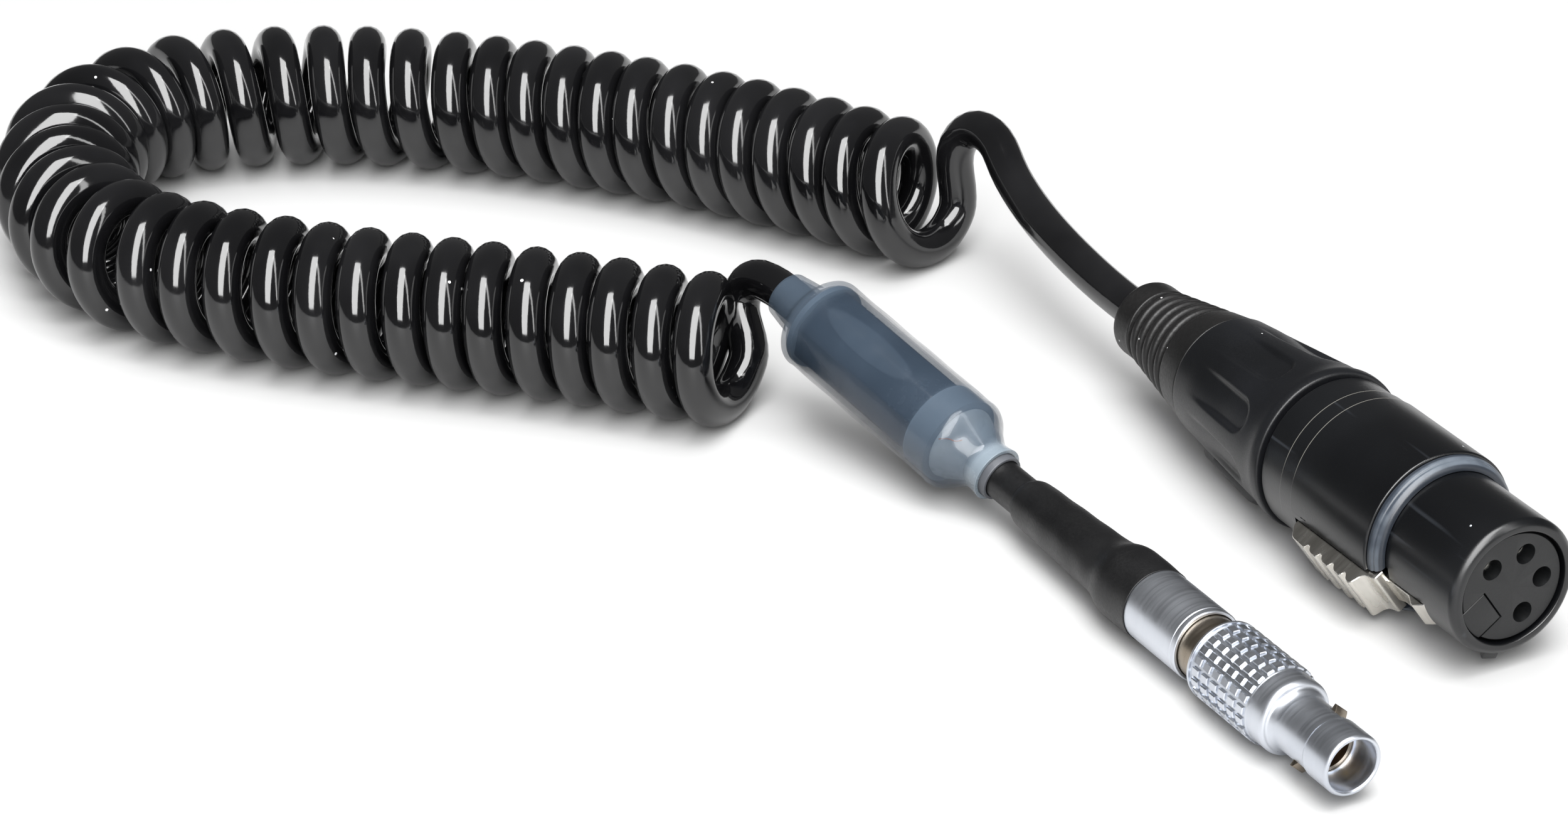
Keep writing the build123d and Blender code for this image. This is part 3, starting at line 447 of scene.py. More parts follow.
def turned(name, line, corners, steps=120, fine=None, relief=None, sharp=32):
    """A piece turned about a line from its closed outline. relief moves its skin in or out."""
    outline = rounded(corners, fine)
    made = bmesh.new()
    rings = []
    for station, radius in outline:
        ring = []
        for step in range(steps):
            angle = step * 360 / steps
            moved = relief(station, radius, angle) if relief else 0.0
            ring.append(made.verts.new(line.point(station, max(radius + moved, 0.0), angle)))
        rings.append(ring)
    for ring, after in zip(rings, rings[1:] + rings[:1]):
        for step in range(steps):
            beside = (step + 1) % steps
            made.faces.new((ring[step], after[step], after[beside], ring[beside]))
    bmesh.ops.remove_doubles(made, verts=made.verts, dist=1e-7)
    bmesh.ops.recalc_face_normals(made, faces=made.faces)
    piece = meshed(name, made)
    smoothed(piece.data, sharp)
    unrolled(piece.data, line)
    return piece


def dressed(piece, finish, body, slot, *nodes):
    """A finished piece gets its material, moves with its body and stands for its CAD nodes."""
    kept = piece.data.materials
    kept.clear()
    kept.append(finish.material)
    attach(piece, body)
    if nodes:
        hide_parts(*nodes)


def boot_r(station):
    """The radius of the boot's ribbed cone at a station."""
    return BOOT_REAR_R + (BOOT_FRONT_R - BOOT_REAR_R) * (station - RIBS_START) / (BOOT_END - RIBS_START)


boot_outline = [(0, 2.45, 0.25), (0, 4.72, 1.2), (RIBS_START, 4.72, 0.5)]
for rib in range(RIBS):
    groove = RIBS_START + (rib + 0.5) * RIB_PITCH
    for off, deep, rounding in RIB_OUTLINE:
        boot_outline.append((groove + off, boot_r(groove + off) - deep, rounding))
boot_outline += [(BOOT_END, 7.28, 0.3), (BOOT_END, 6.0, 0), (25, 5.88, 0.3), (25, 2.45, 0)]
boot = turned("ribbed_boot", socket_line, boot_outline, 128)
boot_rubber = worn(
    "boot_rubber", rgb(14, 14, 14), rgb(22, 21, 21), (0.42, 0.56), 2600.0, 0.00003, dust=0.03
)
dressed(boot, boot_rubber, "lead", "boot_rubber", "boot")

# ------------------------------------------------------------------ bushing
# A screwed black plastic bushing, injection moulded, that clamps the cord and holds the boot. It flares
# towards the housing, with eight finger flutes round it and one raised rib for the spanner.
FLUTES = 8
FLUTE_FIRST = 20
FLUTE_REAR = 20.4
FLUTE_FRONT = 33.4
FLUTE_R = 1.95
FLUTE_DEPTH = 0.62
FLUTE_RUN_IN = 8.5
FLUTE_EDGE = 0.7
RIB_ANGLE = 234
RIB_HEIGHT = 0.75
RIB_HALF_W = 0.75
RIB_SPAN = (20.6, 33.6)
bushing_outline = [
    (17.68, 5.97, 0),
    (17.68, 7.42, 0.18),
    (30, 8.75, 3.0),
    (35.5, 9.3, 1.2),
    (37.1, 9.72, 0.5),
    (38.15, 9.62, 0.3),
    (38.15, 8.55, 0),
    (31.2, 8.55, 0),
    (26.3, 5.97, 0),
]


def eased(value):
    """A smooth step from 0 to 1."""
    held = min(max(value, 0.0), 1.0)
    return held * held * (3 - 2 * held)


def flutes(station, radius, angle):
    """How far the bushing's skin goes in at its flutes and out at its rib, in millimetres."""
    if radius < 7.3 or not 18 < station < 37:
        return 0.0
    pitch = 360 / FLUTES
    off_middle = (angle - FLUTE_FIRST + pitch / 2) % pitch - pitch / 2
    beside = radius * math.radians(off_middle)
    past = max(station - FLUTE_FRONT + FLUTE_R, 0.0)
    run_in = eased((station - FLUTE_REAR) / FLUTE_RUN_IN)
    sunk = -FLUTE_DEPTH * run_in * eased((FLUTE_R - math.hypot(past, beside)) / FLUTE_EDGE + 0.5)
    off_rib = (angle - RIB_ANGLE + 180) % 360 - 180
    rib_edge = RIB_HALF_W - abs(radius * math.radians(off_rib))
    rib_end = min(station - RIB_SPAN[0], RIB_SPAN[1] - station)
    raised = RIB_HEIGHT * eased(rib_edge / 0.3 + 0.5) * eased(rib_end / 1.6)
    return raised if raised > 0.01 else sunk


bushing = turned("fluted_bushing", socket_line, bushing_outline, 300, 0.32, flutes, 50)
bushing_plastic = worn(
    "bushing_plastic", rgb(12, 13, 15), rgb(19, 20, 23), (0.36, 0.48), 5200.0, 0.000014, dust=0.035
)
dressed(bushing, bushing_plastic, "lead", "bushing_plastic", "bushing")

# ------------------------------------------------------------------ clamp and cord end
# Inside the bushing a split collar of natural plastic grips the cord's jacket. The cord's last length is
# stripped there, and its four coloured conductors fan out to the contacts.
natural_plastic = worn(
    "clamp_plastic", rgb(205, 202, 190), rgb(226, 224, 214), (0.4, 0.55), 1800.0, 0.00001
)
insulation = worn("wire_insulation", rgb(150, 28, 24), rgb(176, 40, 32), (0.3, 0.45), 2200.0, 0.00001)


def kept(node, finish):
    """A CAD node whose shape is right keeps it, and gets this finish."""
    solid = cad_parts[node]
    solid.data.materials.clear()
    solid.data.materials.append(finish.material)


kept("cable_clamp", natural_plastic)
kept("socket_cord_end", jacket)
kept("module_cord_end", jacket)
kept("socket_wires", insulation)

# ------------------------------------------------------------------ housing
# The socket's body is a zinc die casting, turned at its barrel and coated in fine black. Two small steps
# run round its rear, the latch sits in a window in its side, and a lug keys it into its partner.
LATCH_ANGLE = 215
LATCH_GAP = 0.3
LATCH_W = 6.2
WINDOW_W = LATCH_W + 2 * LATCH_GAP
STEP_EDGES = (42.56, 44.86)
BEVEL_FROM = 40.0
housing_outline = [
    (33.4, 7.6, 0),
    (33.4, 8.42, 0.2),
    (38.6, 8.42, 0),
    (38.6, 9.2, 0.25),
    (42.5, 9.2, 0.06),
    (42.5, 9.35, 0.08),
    (44.8, 9.35, 0.06),
    (44.8, 9.5, 0.1),
    (59, 9.5, 0.3),
    (59, 7.95, 0),
    (72.4, 7.95, 0.35),
    (73, 7.35, 0.3),
    (73, 6.6, 0.2),
    (72.5, 6.55, 0),
    (58.4, 6.55, 0),
    (56.6, 7.6, 0),
]


def hulled(name, made, corners):
    """A plain piece wrapped round its corners."""
    bmesh.ops.convex_hull(made, input=corners)
    bmesh.ops.recalc_face_normals(made, faces=made.faces)
    return meshed(name, made)


def block(name, line, angle, span, depth, width):
    """A block beside a line: its span of stations, its depth of radii and its width across."""
    made = bmesh.new()
    ends = []
    for station in span:
        for radius in depth:
            for half in (-width / 2, width / 2):
                ends.append(made.verts.new(line.point(station, radius, angle, half)))
    return hulled(name, made, ends)


def drill(line, span, radius, offset, angle, sides=40):
    """A round cutter beside a line, at an offset and angle."""
    made = bmesh.new()
    ends = []
    for station in span:
        middle = line.point(station, offset, angle)
        for side in range(sides):
            turn = 2 * math.pi * side / sides
            spoke = line.side * math.cos(turn) + line.up * math.sin(turn)
            ends.append(made.verts.new(middle + spoke * radius * MM))
    return hulled("drill", made, ends)


def settled(piece):
    """A piece's modifiers are worked into its mesh and taken off."""
    worked = piece.evaluated_get(bpy.context.evaluated_depsgraph_get())
    mesh = bpy.data.meshes.new_from_object(worked)
    piece.modifiers.clear()
    piece.data = mesh
    smoothed(mesh)


def cut_out(piece, cutters):
    """Cuts the cutters out of a piece and clears them away."""
    for cutter in cutters:
        cut = piece.modifiers.new("cut", "BOOLEAN")
        cut.operation = "DIFFERENCE"
        cut.solver = "EXACT"
        cut.object = cutter
    settled(piece)
    for cutter in cutters:
        bpy.data.objects.remove(cutter)


housing = turned("socket_housing", socket_line, housing_outline, 160)
window = block("window", socket_line, LATCH_ANGLE, (45.5, 61.1), (6.3, 11.0), WINDOW_W)
tongue_slot = block("tongue_slot", socket_line, LATCH_ANGLE, (56.0, 67.5), (5.35, 9.6), 4.2)
pin_hole = block("pin_hole", socket_line, LATCH_ANGLE, (46.7, 47.7), (7.65, 8.65), 8.1)
cut_out(housing, [window, tongue_slot, pin_hole])


def coated_metal():
    """Black coating over a casting: soft sheen, faint lengthwise lines, and dust that clings."""
    made = Finish("housing_coat", {"Coat Weight": 0.12, "Coat Roughness": 0.2, "Specular IOR Level": 0.55})
    broad = made.noise(45.0, 3.0)
    lines = made.noise(420.0, 2.0, (0.06, 1, 1))
    fine = made.noise(6500.0, 1.0)
    specks = made.spots(240.0, 0.03)
    colour = made.tint(made.ramp(broad, 0.3, 0.7), rgb(9, 10, 12), rgb(15, 16, 18))
    scratch = made.ramp(lines, 0.66, 0.72, 0.0, 0.25)
    colour = made.tint(scratch, colour, rgb(70, 74, 80))
    along = made.round_and_along()[1]
    for edge in STEP_EDGES:
        off_edge = made.node("Math", {"operation": "ABSOLUTE"}, {0: along - edge * MM})
        worn_off = made.ramp(off_edge, 0.00004, 0.0001, 1.0, 0.0) * made.ramp(broad, 0.42, 0.5)
        colour = made.tint(worn_off * 0.6, colour, rgb(120, 118, 112))
    made.feed("Base Color", made.tint(specks * 0.7, colour, rgb(190, 195, 200)))
    made.feed("Roughness", made.ramp(broad, 0.3, 0.7, 0.27, 0.36) + specks * 0.3)
    made.feed("Normal", made.bump(fine, 0.000008, made.bump(lines, 0.00002)))
    return made


housing_coat = coated_metal()
dressed(housing, housing_coat, "lead", "housing_metal", "housing")

def bevelled(name, piece, width, segments=3):
    """Rounds the sharp edges of a plain piece."""
    soft = piece.modifiers.new("soft", "BEVEL")
    soft.width = width * MM
    soft.segments = segments
    soft.limit_method = "ANGLE"
    soft.angle_limit = math.radians(BEVEL_FROM)
    soft.use_clamp_overlap = True
    settled(piece)
    piece.name = piece.data.name = name
    return piece


def prism(name, line, angle, corners, width, bevel, segments=3):
    """A flat-sided piece beside a line, from corners of station and radius."""
    made = bmesh.new()
    sides = []
    for half in (-width / 2, width / 2):
        places = [line.point(station, radius, angle, half) for station, radius in corners]
        sides.append([made.verts.new(place) for place in places])
    made.faces.new(sides[0])
    made.faces.new(sides[1][::-1])
    for number in range(len(corners)):
        after = (number + 1) % len(corners)
        made.faces.new((sides[0][number], sides[1][number], sides[1][after], sides[0][after]))
    bmesh.ops.recalc_face_normals(made, faces=made.faces)
    return bevelled(name, meshed(name, made), bevel, segments)


lug = prism("rim_lug", socket_line, 257, [(70.6, 7.6), (72.05, 8.7), (72.35, 7.3)], 2.0, 0.12)
dressed(lug, housing_coat, "lead", "housing_metal")

# ------------------------------------------------------------------ shoulder ring
# A pale grey plastic ring, snapped over the barrel against the housing's shoulder. It is cut away
# where the latch's tongue passes.
# Stations, in millimetres, over which painted shade darkens the ring's rear and front edges.
RING_SHADE_SPANS = ((59.3, 59.6), (60.4, 60.6))
ring_outline = [
    (59.03, 8.0, 0.05),
    (59.03, 9.22, 0.12),
    (59.75, 9.12, 0.2),
    (59.9, 8.95, 0.1),
    (60.15, 8.98, 0.15),
    (60.75, 8.5, 0.25),
    (60.75, 8.0, 0.05),
]
shoulder_ring = turned("shoulder_ring_pale", socket_line, ring_outline, 160)
ring_gap = block("ring_gap", socket_line, LATCH_ANGLE, (58, 62), (7, 11), WINDOW_W)
cut_out(shoulder_ring, [ring_gap])


def ring_with_painted_edge_shade():
    """Pale grey moulded plastic with painted shade darkening its rounded edges; its corners catch the light.
    """
    made = Finish("ring_plastic", {})
    along = made.round_and_along()[1]
    broad = made.noise(260.0, 3.0)
    fine = made.noise(2200.0)
    colour = made.tint(made.ramp(broad, 0.3, 0.7), rgb(48, 53, 60), rgb(78, 84, 91))
    rear, front = [[station * MM for station in fade] for fade in RING_SHADE_SPANS]
    # painted shade: the ring's rounded rear and front edges are darkened in its colour, where they turn from
    # the light
    painted_edge_shade = made.ramp(along, *rear, 1.0, 0.0) + made.ramp(along, *front)
    made.feed("Base Color", made.tint(painted_edge_shade, colour, rgb(38, 42, 48)))
    made.feed("Roughness", made.ramp(broad, 0.3, 0.7, 0.3, 0.45))
    made.feed("Normal", made.bump(fine, 0.00001, made.bump(broad, 0.00004)))
    return made


ring_plastic = ring_with_painted_edge_shade()
dressed(shoulder_ring, ring_plastic, "lead", "shoulder_ring_plastic", "shoulder_ring")

# ------------------------------------------------------------------ insert and contacts
# A black moulded disc holds four turned, silver-plated contacts in a ring, and a separate key block
# fills the slot at its edge. The disc is pushed in from behind and sits just under the rim.
FACE = 72.5
CONTACT_CIRCLE_R = 3.85
CONTACT_ANGLES = (135, 67, 295, 363)
CONTACT_HOLE_R = 1.2
THROUGH = (50, 76)
insert_outline = [
    (57, 0, 0),
    (57, 6.48, 0.1),
    (71.9, 6.48, 0.1),
    (72.1, 6.3, 0.1),
    (FACE, 6.22, 0.1),
    (FACE, 0, 0),
]
insert = turned("contact_disc", socket_line, insert_outline, 128)
holes = [drill(socket_line, THROUGH, CONTACT_HOLE_R, CONTACT_CIRCLE_R, angle) for angle in CONTACT_ANGLES]
key_slot = block("key_slot", socket_line, LATCH_ANGLE, THROUGH, (2.74, 9.0), 4.32)
cut_out(insert, [key_slot] + holes)
bevelled("contact_disc", insert, 0.13)
insert_plastic = worn(
    "insert_plastic", rgb(13, 14, 15), rgb(19, 20, 21), (0.36, 0.5), 3800.0, 0.00001, dust=0.03
)
dressed(insert, insert_plastic, "lead", "insert_plastic", "insert")


def softened(name, node, width, segments=3):
    """A merged copy of a CAD node with its sharp edges rounded."""
    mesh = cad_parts[node].data.copy()
    made = bmesh.new()
    made.from_mesh(mesh)
    bmesh.ops.remove_doubles(made, verts=made.verts, dist=1e-6)
    flat = dict(angle_limit=math.radians(1.5), use_dissolve_boundaries=False)
    bmesh.ops.dissolve_limit(made, verts=made.verts, edges=made.edges, **flat)
    made.to_mesh(mesh)
    made.free()
    copy = in_scene(name, mesh)
    copy.vertex_groups.clear()
    return bevelled(name, copy, width, segments)


key_block = softened("key_insert", "key_block", 0.12)
dressed(key_block, insert_plastic, "lead", "insert_plastic", "key_block")


def plated(name, first, second, rough, stretch=(1, 1, 1)):
    """Plated metal: two close tones, a brushed or grained gloss and fine relief."""
    made = Finish(name, {"Metallic": 1.0})
    broad = made.noise(70.0, 3.0)
    fine = made.noise(1400.0, 2.0, stretch)
    specks = made.spots(300.0, 0.03)
    colour = made.tint(made.ramp(broad * 0.5 + fine * 0.5, 0.3, 0.7), first, second)
    made.feed("Base Color", made.tint(specks * 0.4, colour, rgb(70, 70, 74)))
    made.feed("Roughness", made.ramp(fine * 0.6 + broad * 0.4, 0.3, 0.7, rough[0], rough[1]))
    made.feed("Normal", made.bump(fine, 0.000006))
    return made


silver = plated("contact_silver", rgb(205, 203, 196), rgb(235, 233, 226), (0.16, 0.26))
for number in range(1, 5):
    kept(f"socket_contact_{number}", silver)

# ------------------------------------------------------------------ latch
# The release button and its hooked tongue are one nickel-plated casting on a steel pin. A bent leaf of
# spring steel pushes the button out.
NOTCHES = 4
NOTCH_FIRST = 49.8
NOTCH_PITCH = 2.3
TONGUE_W = 3.6
button_corners = [
    (45.82, 7.35, 0.1),
    (45.82, 9.5, 0.35),
    (47.0, 10.75, 0.4),
    (49.2, 10.9, 0.35),
]
for number in range(NOTCHES):
    notch = NOTCH_FIRST + number * NOTCH_PITCH
    button_corners += [(notch - 0.35, 10.95, 0.3), (notch, 10.15, 0.35), (notch + 0.75, 10.95, 0.4)]
button_corners += [
    (58.3, 10.97, 1.5),
    (58.9, 9.25, 0.7),
    (60.58, 8.88, 0.25),
    (60.58, 7.7, 0.1),
    (57.0, 7.35, 0.1),
]
tongue_corners = [
    (57.0, 7.4, 0),
    (57.0, 8.2, 0),
    (60.3, 8.2, 0.2),
    (61.4, 7.85, 0.3),
    (64.6, 7.85, 0.2),
    (65.8, 8.52, 0.25),
    (67.2, 7.65, 0.15),
    (67.2, 6.98, 0.1),
    (60.8, 6.98, 0.3),
]


latch = prism("latch_button", socket_line, LATCH_ANGLE, rounded(button_corners), LATCH_W, 0.1, 1)
tongue = prism("latch_tongue", socket_line, LATCH_ANGLE, rounded(tongue_corners), TONGUE_W, 0.08, 1)
latch_nickel = plated("latch_nickel", rgb(188, 184, 176), rgb(222, 219, 212), (0.2, 0.32), (1, 0.15, 0.15))
for piece in (latch, tongue):
    dressed(piece, latch_nickel, "latch", "latch_nickel", "latch")
steel = plated("pin_steel", rgb(150, 150, 152), rgb(190, 190, 192), (0.22, 0.34), (0.2, 1, 1))
spring_steel = plated("leaf_steel", rgb(140, 141, 145), rgb(178, 179, 183), (0.25, 0.38), (0.1, 1, 1))
kept("latch_pin", steel)
kept("latch_spring", spring_steel)

# ------------------------------------------------------------------ module core
# A small converter board is potted in an eight-sided dark case between two round end caps. Its leads
# come out through the caps, and clear glue fills the front of the sleeve round them.
MODULE_REAR = (-52.2, -21.65, 14.0)
LEAD_BEND = (-14.6, -13.8, 4.75)
MODULE_LENGTH = 37.31
module_line = Line(Vector(MODULE_REAR) * MM, Vector(LEAD_BEND) - Vector(MODULE_REAR))
core_gloss = {"Coat Weight": 0.3, "Coat Roughness": 0.1}
core_plastic = worn(
    "core_plastic", rgb(42, 50, 60), rgb(62, 72, 84), (0.18, 0.3), 1500.0, 0.00001, core_gloss
)
core_case = softened("faceted_core", "core_case", 0.3)
dressed(core_case, core_plastic, "lead", "core_case_plastic", "core_case")
cap_plastic = worn("cap_plastic", rgb(84, 98, 112), rgb(104, 118, 132), (0.3, 0.45), 1200.0, 0.00001)
for node in ("module_rear_cap", "module_front_cap"):
    kept(node, cap_plastic)
laminate = worn("board_laminate", rgb(22, 74, 44), rgb(30, 92, 56), (0.3, 0.42), 1600.0, 0.00001)
chip_plastic = worn("component_plastic", rgb(34, 34, 36), rgb(46, 46, 48), (0.4, 0.55), 3000.0, 0.00001)
kept("board", laminate)
kept("board_parts", chip_plastic)
kept("module_leads", insulation)
glue_outline = [(30.75, 0, 0), (30.75, 4.6, 0.3), (31.8, 4.3, 0.5), (34.4, 2.7, 0.4), (34.4, 0, 0)]
glue = turned("milky_glue", module_line, glue_outline, 96)
milky = worn(
    "milky_glue", rgb(176, 190, 200), rgb(206, 216, 222), (0.25, 0.4), 900.0, 0.00003, {"Alpha": 0.9}
)
dressed(glue, milky, "lead", "frosted_sleeve")
strand_route = [(31.2, 4.6, 150), (31.9, 4.45, 141), (32.9, 3.9, 138), (33.2, 3.75, 128)]
copper_points = [tuple(module_line.point(s, r, a) / MM) for s, r, a in strand_route]
copper_strand = strand("copper_strand", copper_points, 0.14)
copper = plated("bare_copper", rgb(196, 112, 72), rgb(224, 140, 96), (0.25, 0.35))
dressed(copper_strand, copper, "lead", "gold_contact")

# ------------------------------------------------------------------ module sleeve
# A translucent bluish heat-shrink tube is shrunk over the module. It draws in to both necks, stands off
# in a pale blister on its upper side, and ends in a flared milky lip over the grey inner tubing.
SLEEVE_R = 5.8
SLEEVE_FADES = ((6.5, 9.5), (26.8, 28.2), (34.5, 36.2))
BLISTER = {"station": 16.5, "half_length": 7.5, "angle": 116.0, "half_width": 1.9}
BLISTER_RIM = 0.22
sleeve_outline = [
    (0, 2.85, 0.15),
    (2.6, 3.3, 0.8),
    (4.2, 3.5, 0.5),
    (5.2, 5.1, 0.5),
    (6.0, SLEEVE_R, 0.6),
    (31.3, SLEEVE_R, 0.3),
    (32.2, 5.4, 0.5),
    (33.1, 4.5, 0.5),
    (35.2, 3.1, 0.8),
    (36.1, 3.1, 0.5),
    (MODULE_LENGTH, 3.3, 0.1),
    (MODULE_LENGTH, 2.8, 0.1),
    (35.2, 2.8, 0.5),
    (32.7, 4.2, 0.5),
    (31.8, 5.15, 0.4),
    (31.0, 5.35, 0.2),
    (6.4, 5.35, 0.3),
    (5.6, 4.75, 0.3),
    (4.6, 3.0, 0.3),
    (2.6, 2.85, 0.3),
    (0, 2.4, 0.1),
]


def creases(station, radius, angle):
    """The sleeve's soft hollows and its blister, which only move the outer skin inwards."""
    if radius < SLEEVE_R - 0.2 or not 6.5 < station < 30.8:
        return 0.0
    off = (angle - BLISTER["angle"] + 180) % 360 - 180
    beside = radius * math.radians(off) / BLISTER["half_width"]
    along = (station - BLISTER["station"]) / BLISTER["half_length"]
    rim = 1 - abs(math.hypot(beside, along) - 1) / BLISTER_RIM
    wave = 0.03 * math.sin(0.9 * station + 0.05 * angle) + 0.03 * math.sin(math.radians(3 * angle))
    return min(0.0, wave - 0.04) - 0.05 * eased(rim)


sleeve = turned("frosted_sleeve", module_line, sleeve_outline, 144, 0.5, creases, 50)


def frosted():
    """Shrunk translucent tube: see-through along its barrel, milkier at its ends and in its blister."""
    made = Finish("frosted_sleeve", {"IOR": 1.45, "Coat Weight": 0.4, "Coat Roughness": 0.08})
    broad = made.noise(90.0, 3.0)
    fine = made.noise(500.0, 2.0)
    around, along = made.round_and_along()
    rear, front, flare = [[station * MM for station in fade] for fade in SLEEVE_FADES]
    rear_end = made.ramp(along, *rear, 1.0, 0.0)
    front_end = made.ramp(along, *front)
    lip = made.ramp(along, *flare)
    lengthwise = (along - BLISTER["station"] * MM) / (BLISTER["half_length"] * MM)
    crosswise = (around - BLISTER["angle"] / 360) / (BLISTER["half_width"] / SLEEVE_R / 2 / math.pi)
    off_blister = lengthwise * lengthwise + crosswise * crosswise
    blister = made.ramp(off_blister, 0.75, 1.05, 1.0, 0.0)
    ends = made.ramp(rear_end + front_end, 0.0, 1.0)
    colour = made.tint(made.ramp(broad, 0.35, 0.7), rgb(44, 53, 63), rgb(52, 62, 73))
    pale = rgb(66, 76, 87)
    colour = made.tint(blister * 0.35, colour, pale)
    colour = made.tint(ends, colour, pale)
    made.feed("Base Color", made.tint(lip, colour, rgb(112, 122, 130)))
    made.feed("Alpha", made.ramp(broad, 0.3, 0.7, 0.3, 0.42) + blister * 0.08 + ends * 0.1 + lip * 0.25)
    made.feed("Roughness", made.ramp(fine, 0.3, 0.7, 0.16, 0.3))
    made.feed("Normal", made.bump(broad, 0.00003))
    return made


dressed(sleeve, frosted(), "lead", "frosted_sleeve", "module_sleeve")

# ------------------------------------------------------------------ grey tubing and lead
# A short dark-grey tube lines the sleeve's front lip. The thin black lead runs through it, bends down to
# the plug's height and enters the black heat-shrink behind the plug.
LEAD_R = 2.35
grey_outline = [
    (34.6, 2.75, 0.1),
    (38.2, 2.75, 0.15),
    (38.2, 2.4, 0.05),
    (34.6, 2.4, 0.05),
]
grey_tube = turned("grey_lining", module_line, grey_outline, 96)
grey_tubing = worn("grey_tubing", rgb(62, 64, 68), rgb(80, 82, 86), (0.4, 0.55), 2400.0, 0.00002)
dressed(grey_tube, grey_tubing, "lead", "grey_tubing", "grey_sleeve")
lead_points = [tuple(module_line.point(station) / MM) for station in (33.6, 36.0, 37.6)]
lead_points += [LEAD_BEND] + [(x, *LEAD_BEND[1:]) for x in (-12.4, -8.0, 4.0, 17.6)]
lead = strand("thin_lead", lead_points, 2 * LEAD_R)
lead_jacket = worn(
    "lead_jacket", rgb(11, 11, 12), rgb(18, 18, 19), (0.36, 0.5), 2400.0, 0.00002, dust=0.03
)
dressed(lead, lead_jacket, "lead", "lead_jacket", "lead_cable")

# ------------------------------------------------------------------ plug shell
# The push-pull plug's outer shell is turned brass with a satin chrome plate. Its nose enters the socket,
# its rear is cut into square grip pads, and pulling the shell back 0.9 mm frees the latch.
GRIP_START = 13.3
GRIP_REAR = 24.0
PAD_ROWS = 6
PADS_AROUND = 22
PAD_PITCH = 1.672
PAD_FLOOR_R = 4.38
PAD_FIRST = GRIP_START + 0.78
TOOTH_ANGLES = (48, 228)
plug_low, plug_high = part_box("plug_shell")
carrier_low, carrier_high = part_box("carrier")
nose_at = Vector((plug_high.x, (plug_low.y + plug_high.y) / 2, (carrier_low.z + carrier_high.z) / 2))
plug_line = Line(nose_at, (-1, 0, 0))
shell_outline = [
    (0, 3.07, 0.06),
    (0, 3.3, 0.12),
    (0.25, 3.5, 0.2),
    (3.95, 3.5, 0.12),
    (4.2, 3.34, 0.12),
    (9.6, 3.34, 0.5),
    (10.3, 3.7, 0.4),
    (10.4, 4.1, 0.25),
    (10.8, 4.35, 0.3),
    (13.1, 4.35, 0.08),
    (13.25, 4.42, 0.08),
    (23.6, 4.36, 0.05),
    (23.62, 4.68, 0.08),
    (23.95, 4.68, 0.15),
    (GRIP_REAR, 4.4, 0.1),
    (GRIP_REAR, 3.82, 0.1),
    (12.4, 3.82, 0),
    (12.4, 2.76, 0),
    (4.0, 2.76, 0),
    (4.0, 2.92, 0),
    (0.2, 2.92, 0.05),
]
shell = turned("plug_outer_shell", plug_line, shell_outline, 160)
windows = [block("tooth_window", plug_line, angle, (4.6, 6.6), (2.3, 4.4), 2.0) for angle in TOOTH_ANGLES]
cut_out(shell, windows)


def plug_chrome():
    """Satin chrome over turned brass: cool grey, fine turning lines round it and soft tone changes."""
    made = Finish("satin_chrome", {"Metallic": 1.0})
    broad = made.noise(60.0, 3.0)
    rings = made.noise(2600.0, 2.0, (1, 0.04, 0.04))
    specks = made.spots(320.0, 0.03)
    colour = made.tint(made.ramp(broad, 0.3, 0.7), rgb(182, 187, 196), rgb(208, 212, 219))
    made.feed("Base Color", made.tint(specks * 0.5, colour, rgb(60, 62, 66)))
    made.feed("Roughness", made.ramp(broad * 0.5 + rings * 0.5, 0.3, 0.7, 0.27, 0.4))
    made.feed("Normal", made.bump(rings, 0.000006))
    return made


satin_chrome = plug_chrome()
dressed(shell, satin_chrome, "plug_shell", "satin_chrome", "plug_shell")


def grip_pad():
    """One raised grip pad with its top edges worn round, lying along local X with its top up local Z."""
    made = bmesh.new()
    rims = ((-0.1, 1.22, 0.9), (0.2, 1.2, 0.88), (0.3, 1.04, 0.72))
    corners = ((-1, -1), (1, -1), (1, 1), (-1, 1))
    loops = []
    for height, length, width in rims:
        places = [(x * length / 2 * MM, y * width / 2 * MM, height * MM) for x, y in corners]
        loops.append([made.verts.new(place) for place in places])
    for lower, upper in zip(loops, loops[1:]):
        for corner in range(4):
            after = (corner + 1) % 4
            made.faces.new((lower[corner], lower[after], upper[after], upper[corner]))
    made.faces.new(loops[-1])
    made.faces.new(loops[0][::-1])
    return meshed("grip_pad", made)


